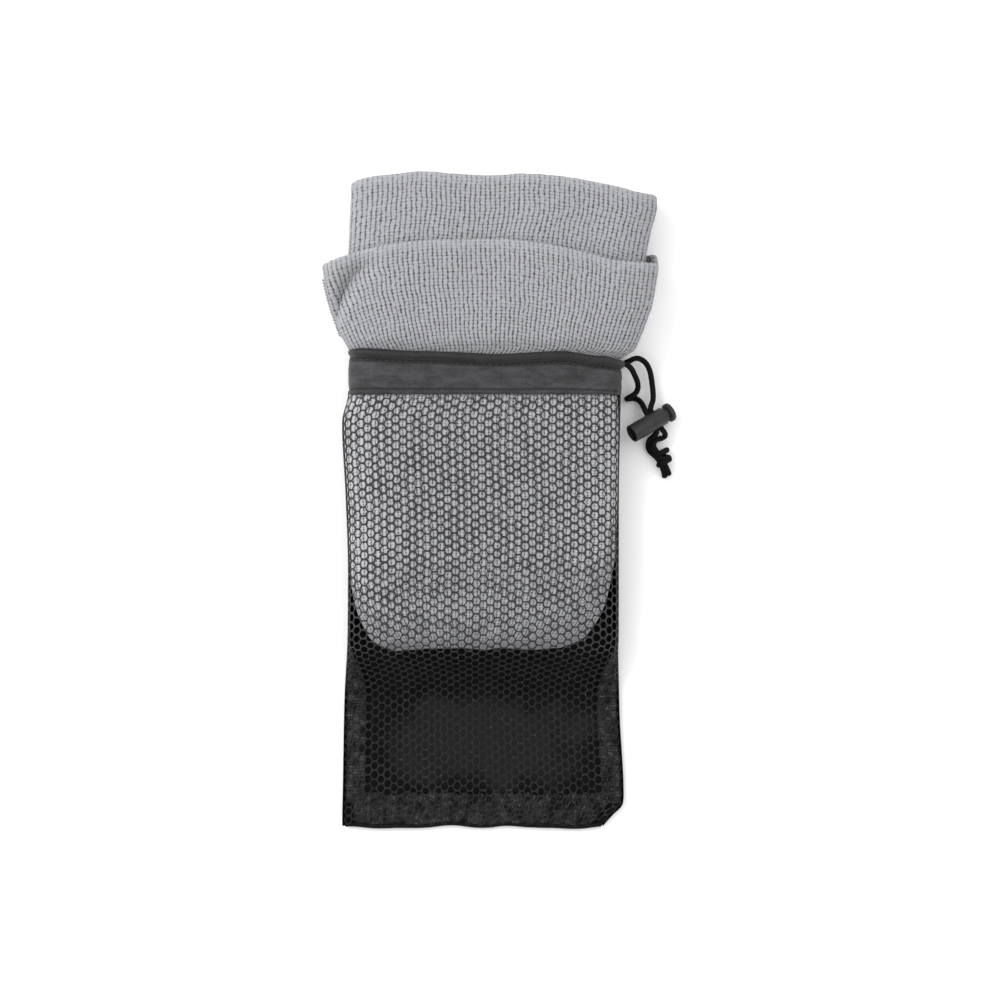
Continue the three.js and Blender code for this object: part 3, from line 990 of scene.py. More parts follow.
@dataclass
class ClothTable:
    """A surface of the pouch as a fine table, read at any share across and any y."""

    form: PouchForm
    face: Face
    inset: float = 0.0
    rows: Numbers = field(default_factory=cloth_rows)
    columns: int = 321

    def __post_init__(self) -> None:
        """Fills the table."""
        oval = self.form.section(self.rows)
        angle = self.form.even_angles(oval, self.face, self.columns, self.inset)
        tall = oval.part((slice(None), None))
        self.x, self.z = tall.at(angle, self.inset)
        middle = self.columns // 2
        rise = np.hypot(np.diff(self.rows), np.diff(self.z[:, middle]))
        self.along = np.concatenate([[0], np.cumsum(rise)])
        self.width = np.hypot(np.diff(self.x, axis=1), np.diff(self.z, axis=1)).sum(1)

    def y_at(self, along: Numbers) -> Numbers:
        """Y at a length along the cloth from the foot."""
        return np.interp(along, self.along, self.rows)

    def point(self, share: Numbers, y: Numbers) -> Numbers:
        """Points at a share across (0 the left seam, 1 the right) and y."""
        c = np.clip(share, 0, 1) * (self.columns - 1)
        r = np.interp(y, self.rows, np.arange(len(self.rows)))
        i = np.clip(r.astype(int), 0, len(self.rows) - 2)
        j = np.clip(c.astype(int), 0, self.columns - 2)
        s, t = r - i, c - j

        def pick(v: Numbers) -> Numbers:
            """The table v read between its four nearest entries."""
            here = v[i, j] * (1 - t) + v[i, j + 1] * t
            above = v[i + 1, j] * (1 - t) + v[i + 1, j + 1] * t
            return here * (1 - s) + above * s

        return np.stack([pick(self.x), np.asarray(y, float), pick(self.z)], axis=-1)

    def outward(self, share: Numbers, y: Numbers) -> Numbers:
        """The outward direction there."""
        a = self.point(np.clip(share + 0.004, 0, 1), y)
        b = self.point(np.clip(share - 0.004, 0, 1), y)
        up = self.point(share, np.clip(y + 0.8, POUCH_FOOT, POUCH_MOUTH))
        down = self.point(share, np.clip(y - 0.8, POUCH_FOOT, POUCH_MOUTH))
        return unit(np.cross(a - b, up - down)) * self.face.value


def foot_wave(x: Numbers, y: Numbers) -> Numbers:
    """How far the pouch's lower edge strays in y, fading out above it."""
    wave = 0.8 * np.sin(x / 9.0 + 0.6) * np.sin(x / 23.0) + 0.35 * np.sin(x / 4.1)
    return wave * (1 - ease(POUCH_FOOT, -146, y))


def ripple(x: Numbers, y: Numbers) -> Numbers:
    """Low creases in the empty foot of the pouch, millimetres of height."""
    empty = 1 - ease(-104, -88, y)
    return empty * (
        0.55 * unevenness(x, y, 26, 5) + 0.3 * unevenness(x + y * 0.6, y, 9, 6)
    )


# ---------------------------------------------------------------- pouch


@dataclass
class Pouch:
    """The pouch's panels, seam allowances, casing and stitching."""

    form: PouchForm
    stock: Stock
    net_columns: int = 43
    net_pitch: float = 4.38
    net_top: float = 53.6
    net_bow: float = 6.5
    casing_foot: float = 51.8
    casing_stitches_at: float = 53.8
    stitch_margin: float = 7.5
    roll: float = 2.0
    stitch_length: float = 2.3
    stitch_gap: float = 0.9
    net_cut: tuple[float, float] = (0.156, 0.232)
    thread_share: float = field(default=1.0, init=False)

    def build(self) -> dict[str, bpy.types.Object]:
        """Makes every piece of the pouch and sets it on its body."""
        made = {
            "mesh_front_panel": self.net(),
            "back_panel": self.back_panel(),
            "casing_front": self.casing(Face.FRONT),
            "casing_back": self.casing(Face.BACK),
        }
        for where, level in (("casing", self.casing_stitches_at), ("channel", None)):
            for face in Face:
                name = f"{where}_thread_{face.name.lower()}"
                made[name] = self.stitches(name, face, level)
        made["drawcord_in_channel"] = self.channel_cord()
        for side in ("left", "right"):
            made[f"seam_allowance_{side}"] = self.side_allowance(side)
        made["seam_allowance_foot"] = self.foot_allowance()
        for name, piece in made.items():
            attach(piece, "pouch")
            LOG.info("%s: %d faces", name, len(piece.data.polygons))
        return made

    def net(self) -> bpy.types.Object:
        """The front panel: a knitted net of six-sided holes with domed bars.

        Returns:
            The piece, one closed mesh.
        """
        table = ClothTable(self.form, Face.FRONT, 0.45)
        length = float(np.interp(self.net_top, table.rows, table.along)) - 0.9
        rows = int(length / self.net_pitch)
        around = [(4, 0), (3, 1), (2, 2), (0, 2), (-2, 2), (-3, 1)]
        around += [(-a, -b) for a, b in around]
        ring = np.array(around)
        i, j = np.meshgrid(np.arange(self.net_columns), np.arange(rows), indexing="ij")
        i, j = i.ravel(), j.ravel()
        keep = ~((i % 2 == 1) & (j == rows - 1))
        i, j = i[keep], j[keep]
        step_x, step_y = NET_CELL
        centre = np.stack([step_x * i, step_y * j + step_y // 2 * (i % 2)], axis=1)
        crest = centre[:, None, :] + ring[None]
        keys, number = np.unique(crest.reshape(-1, 2), axis=0, return_inverse=True)
        number = number.reshape(len(centre), 12)
        pull = np.random.default_rng(2).uniform(-0.34, 0.34, keys.shape)
        inner = (keys[:, 0] > 2) & (keys[:, 0] < keys[:, 0].max() - 6)
        knots = keys + pull * inner[:, None]
        crest = knots[number]

        wide = 6 * (self.net_columns - 1) + 8
        tall = 4 * rows - 1.0

        def lay(lattice: Numbers, lift: Numbers | float) -> Numbers:
            """Points of the net's lattice set on the pouch, raised by lift."""
            share = (lattice[:, 0] + 4) / wide
            share = 0.006 + share * 0.988
            share = share + 0.0022 * unevenness(lattice[:, 0], lattice[:, 1], 14, 21)
            along = 0.7 + (lattice[:, 1] + 2) / (tall + 2) * length
            along = along + 0.35 * unevenness(lattice[:, 0], lattice[:, 1], 16, 22)
            part = np.clip(along / length, 0, 1)
            bow = np.sin(np.pi * part) * (1.35 - part)
            along = along + self.net_bow * bow * (1 - np.abs(2 * share - 1) ** 1.6)
            y = table.y_at(along)
            point = table.point(share, y)
            point[:, 1] += foot_wave(point[:, 0], y)
            point[:, 2] += ripple(point[:, 0], y)
            return point + table.outward(share, y) * np.reshape(lift, (-1, 1))

        jitter = np.random.default_rng(3).uniform(0.91, 1.07, (len(centre), 1, 1))
        round_hole = unit(ring.astype(float) * (1, 1.5)) * (3.1, 1.7)
        hex_hole = (crest - centre[:, None, :]) * 0.82
        hole = centre[:, None, :] + (round_hole * 0.5 + hex_hole * 0.5) * jitter
        rim_x, rim_y = np.moveaxis(hole - centre[:, None, :], -1, 0)
        turned = rim_x * np.roll(rim_y, -1, 1) - np.roll(rim_x, -1, 1) * rim_y
        hole_area = float(np.abs(turned.sum(1)).mean()) / 2
        self.thread_share = 1 - hole_area / math.prod(NET_CELL)
        LOG.info(
            "net: %.0f mm long, %.0f mm wide, %.3f of it thread",
            length,
            float(table.width[table.rows < self.net_top].mean()),
            self.thread_share,
        )
        shoulder = crest * 0.46 + hole * 0.54
        under = centre[:, None, :] + (hole - centre[:, None, :]) * 1.06
        cells = len(centre)
        crests = len(keys)
        knuckle = np.random.default_rng(4).uniform(0.0, 0.1, crests)
        points = np.vstack(
            [
                lay(knots, 0.30 + knuckle), lay(shoulder.reshape(-1, 2), 0.26),
                lay(hole.reshape(-1, 2), 0.0), lay(under.reshape(-1, 2), -0.2),
                lay(knots, -0.22),
            ]
        )
        n = np.arange(cells * 12).reshape(cells, 12)
        a, b = n, np.roll(n, -1, axis=1)
        top, after = number, np.roll(number, -1, axis=1)
        base1, base2 = crests, crests + cells * 12
        base3, base4 = crests + cells * 24, crests + cells * 36
        quads = [
            (top, after, base1 + b, base1 + a),
            (base1 + a, base1 + b, base2 + b, base2 + a),
            (base2 + a, base2 + b, base3 + b, base3 + a),
            (base3 + a, base3 + b, base4 + after, base4 + top),
        ]
        faces = [np.stack([v.ravel() for v in quad], axis=1) for quad in quads]
        pairs = np.stack([top.ravel(), after.ravel()], axis=1)
        _, where, times = np.unique(
            np.sort(pairs, axis=1), axis=0, return_index=True, return_counts=True
        )
        rim = pairs[where[times == 1]]
        faces.append(
            np.stack(
                [rim[:, 1], rim[:, 0], base4 + rim[:, 0], base4 + rim[:, 1]], axis=1
            )
        )
        piece = make_mesh("mesh_front_panel", points, np.vstack(faces))
        return dress(piece, self.stock.net, ("mesh_front_panel",))

    def back_panel(self) -> bpy.types.Object:
        """The taffeta back, its edges rolled over the net's border.

        Returns:
            The piece, one closed mesh.
        """
        back = ClothTable(self.form, Face.BACK, 0.12)
        front = ClothTable(self.form, Face.FRONT, 0.0)
        y = np.concatenate(
            [np.linspace(POUCH_FOOT, -96, 90), np.linspace(-95.2, 53.4, 150)]
        )
        lip = np.array([0.95, 0.7, 0.4, 0.15])
        share = np.linspace(0, 1, 150)
        outer_rows, inner_rows = [], []
        for level in y:
            width = float(np.interp(level, front.rows, front.width))
            at = np.full(len(share), level)
            under = back.point(share, at)
            aim = back.outward(share, at)
            flat = float(1 - ease(-96, -70, np.array(level)))
            over = lip * (0.25 + 0.75 * flat) / width
            proud = 0.02 + 0.3 * flat
            spot = np.full(len(lip), level)
            left = front.point(over, spot) + front.outward(over, spot) * proud
            right = front.point(1 - over[::-1], spot)
            right = right + front.outward(1 - over[::-1], spot) * proud
            row = np.vstack([left, under, right])
            lean = np.vstack(
                [front.outward(over, spot), aim, front.outward(1 - over[::-1], spot)]
            )
            row[:, 1] += foot_wave(row[:, 0], np.full(len(row), level))
            number = np.arange(len(row))
            inside = (number > 10) & (number < len(row) - 11)
            lift = 0.35 * (unevenness(row[:, 0], row[:, 1], 17, 9) + 1)
            row[inside, 2] += lift[inside] * (1 - ease(-100, -84, np.array(level)))
            row[:, 2] += np.where(inside, 0.0, ripple(row[:, 0], row[:, 1]) * 0.5)
            outer_rows.append(row)
            inner_rows.append(row - lean * 0.3)
        outer, inner = np.array(outer_rows), np.array(inner_rows)
        ring = np.concatenate([outer, inner[:, ::-1]], axis=1)
        ring[:, :, 2] = np.maximum(ring[:, :, 2], 0.02)
        rows, columns = ring.shape[:2]
        points = ring.reshape(-1, 3)
        faces = quad_grid(rows, columns, closed=True)[:, ::-1].tolist()
        faces += end_strips(rows, columns, 1)
        shape = Shape()
        shape.add(points, faces)
        self.foot_binding(shape)
        piece = shape.piece("back_panel")
        return dress(piece, self.stock.taffeta, ("back_panel",))

    def foot_binding(self, shape: Shape) -> None:
        """The turned lower edge, where the two panels meet in a soft roll."""
        section = self.form.section(np.array([-163.2]))
        x = np.linspace(section.left[0] + 0.9, section.right[0] - 0.9, 200)
        y = -162.9 + foot_wave(x, np.full_like(x, -163.2))
        z = 1.9 + 0.25 * unevenness(x, y, 12, 31)
        size = 1.15 + 0.18 * unevenness(x, y, 7, 32)
        tube(shape, np.stack([x, y, z], axis=1), size, 14)

    def side_allowance(self, side: str) -> bpy.types.Object:
        """The seam's inner edge along one side, seen through the net."""
        table = ClothTable(self.form, Face.FRONT, 0.95)
        y = np.linspace(-152, 38, 260)
        reach = 10.2 - 8.6 * ease(-86, -50, y)
        across = np.linspace(0, 1, 14)
        fray = 0.5 * unevenness(y, y * 0, 1.6, 41 if side == "left" else 42)
        rows = []
        for level, wide, ragged in zip(y, reach, fray):
            width = float(np.interp(level, table.rows, table.width))
            d = 0.9 + across * (wide - 0.9 + ragged * min(1.0, wide / 6))
            share = d / width if side == "left" else 1 - d / width
            spot = np.full(len(share), level)
            row = table.point(share, spot)
            row[:, 2] += ripple(row[:, 0], spot) * 0.8
            row[:, 2] -= 0.5 * across * (1 - ease(-100, -80, spot))
            rows.append((row, table.outward(share, spot)))
        return self.thin_strip(f"seam_allowance_{side}", rows, across * 10, y)

    def foot_allowance(self) -> bpy.types.Object:
        """The seam's inner edge along the foot."""
        table = ClothTable(self.form, Face.FRONT, 0.95)
        x = np.linspace(0.035, 0.945, 220)
        across = np.linspace(0, 1, 14)
        rows = []
        for k, share in enumerate(x):
            top = -147.2 + 0.8 * unevenness(np.array(k * 0.6), np.array(0.0), 2.2, 44)
            y = -162.4 + across * (float(top) + 162.4)
            spot = np.full(len(y), share)
            row = table.point(spot, y)
            row[:, 1] += foot_wave(row[:, 0], y)
            row[:, 2] += ripple(row[:, 0], y) * 0.8 - 0.35
            rows.append((row, table.outward(spot, y)))
        return self.thin_strip("seam_allowance_foot", rows, across * 10, x * 137)

    def thin_strip(
        self, name: str, rows: list, across: Numbers, along: Numbers
    ) -> bpy.types.Object:
        """A closed thin strip of cloth through rows of points and their directions."""
        top = np.array([p for p, _ in rows])
        low = top - np.array([d for _, d in rows]) * 0.35
        ring = np.concatenate([top, low[:, ::-1]], axis=1)
        ring[:, :, 2] = np.maximum(ring[:, :, 2], 0.8)
        cloth = np.empty(ring.shape[:2] + (2,))
        cloth[..., 0] = np.concatenate([across, across[::-1]])[None]
        cloth[..., 1] = along[:, None]
        columns = ring.shape[1]
        faces = quad_grid(len(rows), columns, closed=True).tolist()
        faces += end_rings(len(rows), columns)
        shape = Shape()
        shape.add(ring.reshape(-1, 3), faces, cloth.reshape(-1, 2))
        piece = shape.piece(name)
        return dress(piece, self.stock.seam, (name,))

    def mouth(self, face: Face, count: int) -> tuple[Numbers, Numbers, Numbers]:
        """The mouth's line on one face.

        Args:
            face: front or back.
            count: points from the left seam to the right one.

        Returns:
            The line's points at y 0, its outward directions, and the roll's middle line.
        """
        oval = self.form.section(np.array([60.0]))
        angle = self.form.even_angles(oval, face, count, 0.0)[0]
        x, z = oval.at(angle)
        base = np.stack([x, 0 * x, z], axis=1)
        ahead = unit(np.gradient(base, axis=0))
        out = np.cross(ahead, (0, 1, 0)) * face.value
        end = [(-1.0, 0.0, 0.0), (1.0, 0.0, 0.0)]
        out[0], out[-1] = end
        return base, out, self.channel_middle(angle)

    def channel_middle(self, angle: Numbers) -> Numbers:
        """Middle line of the cord's channel, pulled in flat where it turns at the left."""
        channel = Oval(*(np.array([v]) for v in (-71.6, 65.1, 0.0, 30.1, 14.5, 4.0)))
        x, z = channel.at(angle)
        edge = self.form.mouth_edge(x)
        x = x + 2.4 * np.exp(-(((x + 71.6) / 4) ** 2))
        return np.stack([x, edge, np.maximum(z, 2.3)], axis=1)

    def casing(self, face: Face) -> bpy.types.Object:
        """The folded band round the mouth, with the cord's roll along its top.

        Args:
            face: front or back.

        Returns:
            The piece, one closed mesh of folded cloth.
        """
        count = 420
        base, out, middle = self.mouth(face, count)
        x, edge = base[:, 0], middle[:, 1]
        foot = self.casing_foot + 0.25 * unevenness(x, x * 0, 18, 51)
        bow = 0.35 + 0.35 * unevenness(x, x * 0, 20, 52)
        tuck = np.exp(-(((x - 61.5) / 2.2) ** 2)) * (1 if face is Face.FRONT else 0)
        seam_pull = np.exp(-(((x + 71) / 2.5) ** 2))
        band: list[tuple[Numbers, Numbers]] = []
        heights = np.linspace(0, 1, 9)
        for h in heights:
            band.append((np.full(count, -1.02), foot + 0.6 + h * (edge - 3.0 - foot)))
        inner = [base + out * n[:, None] + np.stack([0 * x, y, 0 * x], 1) for n, y in band]
        puff = 1 + 0.07 * unevenness(x, x * 0, 11, 53)
        puff = puff - 0.2 * np.exp(-(((x + 71) / 4) ** 2)) - 0.16 * ease(56, 65, x)
        roll = []
        for a in np.radians(np.linspace(212, -62, 17)):
            r = self.roll * puff
            roll.append(
                middle
                + out * (r * np.cos(a))[:, None]
                + np.stack([0 * x, r * np.sin(a), 0 * x], 1)
            )
        outer = []
        for h in np.concatenate([[0, 0.04, 0.1], np.linspace(0.18, 1, 14)]):
            y = (edge - 2.75) * (1 - h) + foot * h
            dip = -0.42 * np.exp(-((h / 0.05) ** 2)) + bow * np.sin(np.pi * h) ** 0.8
            folds = 0.28 * unevenness(x * 0.35, y, 3.2, 54) * math.sin(math.pi * h)
            n = 0.02 + dip + folds - 0.9 * tuck * h - 0.9 * seam_pull
            n = n - 0.2 * np.exp(-(((h - 0.87) / 0.04) ** 2)) - 0.18 * (h > 0.98)
            drop = 0.5 * tuck * h
            outer.append(
                base + out * n[:, None] + np.stack([0 * x, y - drop, 0 * x], 1)
            )
        centre = np.array([*inner, *roll, *outer])
        along = unit(np.gradient(centre, axis=0))
        sweep = unit(np.gradient(centre, axis=1))
        lean = unit(np.cross(sweep, along)) * face.value
        thick = 0.24
        skin = np.concatenate([centre + lean * thick, (centre - lean * thick)[::-1]])
        skin[:, :, 2] = np.maximum(skin[:, :, 2], 0.03)
        if face is Face.FRONT:
            skin[:, :, 2] = np.maximum(skin[:, :, 2], self.form.stations[-1][4] + 0.05)
        else:
            skin[:, :, 2] = np.minimum(skin[:, :, 2], self.form.stations[-1][4] - 0.05)
        ring = skin.transpose(1, 0, 2)
        rows, columns = ring.shape[:2]
        faces = quad_grid(rows, columns, closed=True).tolist()
        faces += end_strips(rows, columns, -1)
        if face is Face.BACK:
            faces = [f[::-1] for f in faces]
        shape = Shape()
        down = np.abs(np.linspace(-1, 1, columns))
        cloth = np.stack(np.broadcast_arrays(x[:, None], 1 - down[None]), axis=-1)
        shape.add(ring.reshape(-1, 3), faces, cloth.reshape(-1, 2))
        name = f"casing_{face.name.lower()}"
        piece = shape.piece(name)
        return dress(piece, self.stock.satin, (name,))

    def stitches(self, name: str, face: Face, level: float | None) -> bpy.types.Object:
        """One row of lockstitch along the casing.

        Args:
            name: the piece and node.
            face: front or back.
            level: its y, or None for the row just under the roll.

        Returns:
            The piece, one small tube for each stitch.
        """
        base, out, middle = self.mouth(face, 900)
        y = np.full(len(base), level) if level else middle[:, 1] - 3.35
        lift = 0.22 if level else 0.05
        line = base + out * lift
        line[:, 1] = y
        line[:, 2] = np.maximum(line[:, 2], 0.3)
        along = run_of(line)
        shape = Shape()
        start = self.stitch_margin
        while start + self.stitch_length < along[-1] - self.stitch_margin:
            t = np.linspace(0, 1, 7)
            at = start + t * self.stitch_length
            spot = np.stack([np.interp(at, along, line[:, k]) for k in range(3)], 1)
            lean = np.stack([np.interp(at, along, out[:, k]) for k in range(3)], 1)
            spot = spot + lean * (0.22 * np.sin(np.pi * t) - 0.16)[:, None]
            spot[:, 2] = np.maximum(spot[:, 2], 0.26)
            tube(shape, spot, 0.23, 8)
            start += self.stitch_length + self.stitch_gap
        piece = shape.piece(name)
        return dress(piece, self.stock.dark_thread, (name,))

    def channel_cord(self) -> bpy.types.Object:
        """The drawcord's run inside the casing's roll, all round the mouth."""
        share = np.linspace(0.012, 0.988, 900)
        points = self.channel_middle(-2 * np.pi * rounded_turn(share))
        keep = np.concatenate(
            [[True], np.linalg.norm(np.diff(points, axis=0), axis=1) > 0.05]
        )
        line = route([tuple(p) for p in points[keep][::6]], 0.9)
        shape = Shape()
        tube(shape, line, 1.25, 12)
        piece = shape.piece("drawcord_in_channel")
        return dress(piece, self.stock.cord, ("drawcord_in_channel",))


# ---------------------------------------------------------------- drawcord


@dataclass
class LockPlace:
    """Where the cord lock lies: its open end, its axis and the way the cords run."""

    end: Point = (70.0, 32.3, 13.9)
    turn: float = math.radians(30)
    tilt: float = math.radians(22)
    hole_at: float = 14.1
    hole_side: float = 1.45

    @property
    def axis(self) -> Numbers:
        """Direction from the open end to the button."""
        flat = math.cos(self.tilt)
        return np.array(
            [
                flat * math.cos(self.turn),
                flat * math.sin(self.turn),
                -math.sin(self.tilt),
            ]
        )

    @property
    def cord_way(self) -> Numbers:
        """Direction in which the cords leave the hole."""
        return np.array([math.sin(self.turn), -math.cos(self.turn), 0.0])

    def in_hole(self, side: float, along: float) -> Point:
        """A point of a cord in the hole, side by side with its neighbour."""
        middle = np.asarray(self.end) + self.axis * self.hole_at
        spot = middle + self.axis * side * self.hole_side + self.cord_way * along
        return tuple(float(v) for v in spot)


@dataclass
class Drawcord:
    """The cord's two strands, its two tails and the knot that ends them."""

    stock: Stock
    lock: LockPlace
    diameter: float = 2.75

    def build(self) -> None:
        hole = self.lock.in_hole
        knot = self.knot()
        strands = {
            "upper": [
                (66.3, 67.6, 7.6), (67.6, 68.2, 8.4), (69.5, 68.9, 9), (71.4, 70, 9),
                (74.1, 69.9, 8.1), (77, 68, 7), (79.2, 64, 5.8), (80.4, 57.5, 5),
                (80.9, 50, 5.8), hole(1, -6.2), hole(1, -3.4), hole(1, -0.15),
            ],
            "lower": [
                (65.9, 67.1, 19.9), (67.8, 66.4, 19.0), (69.8, 64.6, 17),
                (71.7, 61.2, 13), (73.1, 57.8, 9.4), (73.2, 54.8, 6.9),
                (72.0, 52.6, 6.6), (70.0, 51.2, 6.9), (68.3, 50.3, 6.0),
                (67.7, 49.9, 4.2), (68.5, 49.9, 2.3), (70.6, 50.4, 1.5),
                (72.8, 50.0, 1.9), (75.2, 47.8, 3.7), hole(-1, -6.2), hole(-1, -3.4),
                hole(-1, -0.15),
            ],
        }
        tails = {
            "upper": [
                hole(1, 0.15), hole(1, 3), hole(1, 5.6), (86.7, 33.0, 6.8),
                (86.9, 31.3, 5.6), (85.0, 30.2, 5.2), (82.4, 29.5, 5.6),
                (80.9, 27.3, 5.8), (81.9, 24.6, 5.5), (84.6, 21.0, 4.7),
                (86.9, 17.0, 3.8), (88.3, 13.9, 2.6), (89.1, 11.8, 1.8),
            ],
            "lower": [
                hole(-1, 0.15), hole(-1, 3), hole(-1, 5.2), (81.9, 32.0, 8.2),
                (80.1, 30.5, 6.2), (78.8, 28.7, 3.9), (78.4, 26.2, 2.4),
                (79.5, 23.6, 2.2), (81.9, 21.6, 2.8), (84.2, 18.8, 3.4),
                (85.8, 15.4, 2.8), (86.5, 12.8, 2.0), (86.9, 10.5, 1.6),
            ],
        }
        for which, points in strands.items():
            self.lay(f"drawcord_strand_{which}", points, "pouch", "cord_lock", "object", [])
        for which, points in tails.items():
            self.lay(
                f"drawcord_tail_{which}",
                points,
                "cord_lock",
                "pouch",
                "knot",
                [knot] if which == "upper" else [],
            )

    def lay(
        self,
        name: str,
        points: list[Point],
        start: str,
        end: str,
        far_end: str,
        with_pieces: list[bpy.types.Object],
    ) -> None:
        """Args:
            name: the piece and node.
            points: its route.
            start: body at its first point; not used.
            end: body at its last point; not used.
            far_end: what it ends in.
            with_pieces: pieces on it; not used.
        """
        line = route(points, 0.42, 8)
        shape = Shape()
        tube(shape, line, self.diameter / 2, 24, 0.055)
        piece = shape.piece(name)
        dress(piece, self.stock.cord, (name,))
        if far_end == "knot":
            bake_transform(piece)
        else:
            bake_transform(piece)
        LOG.info("%s: %.0f mm", name, line_length(line))

    def knot(self) -> bpy.types.Object:
        """The overhand knot: the doubled cord wound round itself."""
        middle = np.array([85.9, 20.2, 4.0])
        way = unit(np.array([0.27, -0.96, -0.06]))
        right = unit(np.cross(way, (0, 0, 1)))
        up = np.cross(right, way)
        shape = Shape()
        for lag, shift, slant in ((0.0, -2.9, 0.5), (0.9, -0.5, -0.7), (0.2, 1.9, 0.5)):
            t = np.linspace(-0.6 * np.pi, 1.5 * np.pi, 60) + lag
            spots = (
                middle
                + right[None] * (3.0 * np.cos(t))[:, None]
                + up[None] * (2.4 * np.sin(t))[:, None]
                + way[None] * (shift + slant * 1.5 * np.cos(t + 0.4))[:, None]
            )
            spots[:, 2] = np.maximum(spots[:, 2], 1.32)
            line = route([tuple(p) for p in spots[::3]], 0.42, 3)
            tube(shape, line, self.diameter / 2, 24, 0.055)
        piece = shape.piece("cord_knot")
        dress(piece, self.stock.cord, ("cord_knot",))
        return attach(piece, "pouch")


# ---------------------------------------------------------------- cord lock


@dataclass
class CordLock:
    """The spring lock: a barrel, its plunger with the button, and the spring."""

    stock: Stock
    place: LockPlace
    radius: float = 4.5
    length: float = 20.0
    bore: float = 3.1
    recess: float = 3.0
    floor: float = 1.4
    button_radius: float = 4.8
    button_at: float = 22.3
    rod_start: float = 9.6
    button_thick: float = 2.4
    wire: float = 0.4

    def turned(self, name: str, outline: list[tuple[float, float]]) -> bpy.types.Object:
        """A turned solid on the lock's axis.

        Args:
            name: the piece.
            outline: radius and place along the axis, from axis to axis or a closed loop.

        Returns:
            The object.
        """
        axis = self.place.axis
        side = self.place.cord_way
        up = np.cross(axis, side)
        sides = 72
        angle = np.linspace(0, 2 * np.pi, sides, endpoint=False)
        spin = np.cos(angle)[:, None] * side + np.sin(angle)[:, None] * up
        loop = outline[0][0] > 0
        points, rings = [], []
        for r, s in outline:
            centre = np.asarray(self.place.end) + axis * s
            if r == 0:
                rings.append([len(points)])
                points.append(centre)
            else:
                rings.append(list(range(len(points), len(points) + sides)))
                points += list(centre + spin * r)
        pairs = list(zip(rings, rings[1:] + ([rings[0]] if loop else [])))
        faces = []
        for a, b in pairs[: len(rings) if loop else len(rings) - 1]:
            for k in range(sides):
                m = (k + 1) % sides
                quad = [a[k % len(a)], a[m % len(a)], b[m % len(b)], b[k % len(b)]]
                faces.append(list(dict.fromkeys(quad)))
        return make_mesh(name, np.array(points), faces)

    def pierce(self, piece: bpy.types.Object, clearance: float) -> None:
        """Cuts the cords' hole across a piece.

        Args:
            piece: the barrel or the plunger.
            clearance: how much wider than the two cords the hole is.
        """
        axis, way = self.place.axis, self.place.cord_way
        up = np.cross(axis, way)
        middle = np.asarray(self.place.end) + axis * self.place.hole_at
        half = 1.45 + clearance
        outline = []
        for k in range(40):
            a = 2 * math.pi * k / 40
            slide = self.place.hole_side * (1 if math.cos(a) > 0 else -1)
            outline.append(axis * (slide + half * math.cos(a)) + up * half * math.sin(a))
        ends = [middle + way * reach for reach in (-9, 9)]
        points = np.array([end + spot for end in ends for spot in outline])
        faces = quad_grid(2, 40, closed=True).tolist()
        faces += end_rings(2, 40)
        cutter = make_mesh("cord_hole_cutter", points, faces)
        cut = piece.modifiers.new("cord_hole", "BOOLEAN")
        cut.operation, cut.solver, cut.object = "DIFFERENCE", "EXACT", cutter
        bpy.context.view_layer.update()
        graph = bpy.context.evaluated_depsgraph_get()
        whole = bpy.data.meshes.new_from_object(piece.evaluated_get(graph))
        piece.modifiers.clear()
        piece.data = whole
        bpy.data.objects.remove(cutter)
        whole.shade_smooth()
        whole.set_sharp_from_angle(angle=math.radians(35))

    def build(self) -> None:
        """Makes the barrel, plunger and spring and sets them on their bodies."""
        r, far, lip = self.radius, self.length, 3.75
        start = self.recess + self.floor
        barrel = self.turned(
            "lock_barrel",
            [
                (r - 0.35, 0.0), (r - 0.1, 0.1), (r, 0.35), (r, 1.6), (r, 1.61),
                (r, far - 0.5), (r - 0.15, far - 0.15), (r - 0.5, far),
                (self.bore + 0.3, far), (self.bore, far - 0.3),
                (self.bore, start + 0.3), (self.bore - 0.3, start), (0.9, start),
                (0.9, self.recess), (lip - 0.3, self.recess), (lip, self.recess - 0.3),
                (lip, 0.2), (lip + 0.12, 0.0),
            ],
        )
        head, top = self.button_at, self.button_at + self.button_thick
        b = self.button_radius
        plunger = self.turned(
            "lock_plunger",
            [
                (0, self.rod_start), (2.5, self.rod_start), (2.8, self.rod_start + 0.3),
                (2.8, head), (b - 0.5, head), (b - 0.12, head + 0.15), (b, head + 0.5),
                (b, top - 0.6), (b - 0.2, top - 0.2), (b - 0.7, top),
                (b - 1.4, top - 0.05), (2.4, top - 0.18), (0, top - 0.25),
            ],
        )
        self.pierce(barrel, 0.35)
        self.pierce(plunger, 0.4)
        for piece, node, body in (
            (barrel, "lock_barrel", "cord_lock"),
            (plunger, "lock_plunger", "plunger"),
        ):
            dress(piece, self.stock.plastic, (node,))
            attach(piece, body)
        turns = np.linspace(0, 2 * np.pi * 4.5, 260)
        axis, side = self.place.axis, self.place.cord_way
        up = np.cross(axis, side)
        height = start + 0.3 + (self.rod_start - start - 0.7) * turns / turns[-1]
        coil = (
            np.asarray(self.place.end)
            + axis * height[:, None]
            + side * (2.45 * np.cos(turns))[:, None]
            + up * (2.45 * np.sin(turns))[:, None]
        )
        shape = Shape()
        tube(shape, coil, self.wire / 2, 8, round_ends=False)
        spring = dress(
            shape.piece("lock_spring"), self.stock.steel, ("lock_spring",)
        )
        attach(spring, "cord_lock")
        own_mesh(spring)
        LOG.info("cord lock: barrel, plunger and spring")


# ---------------------------------------------------------------- towel


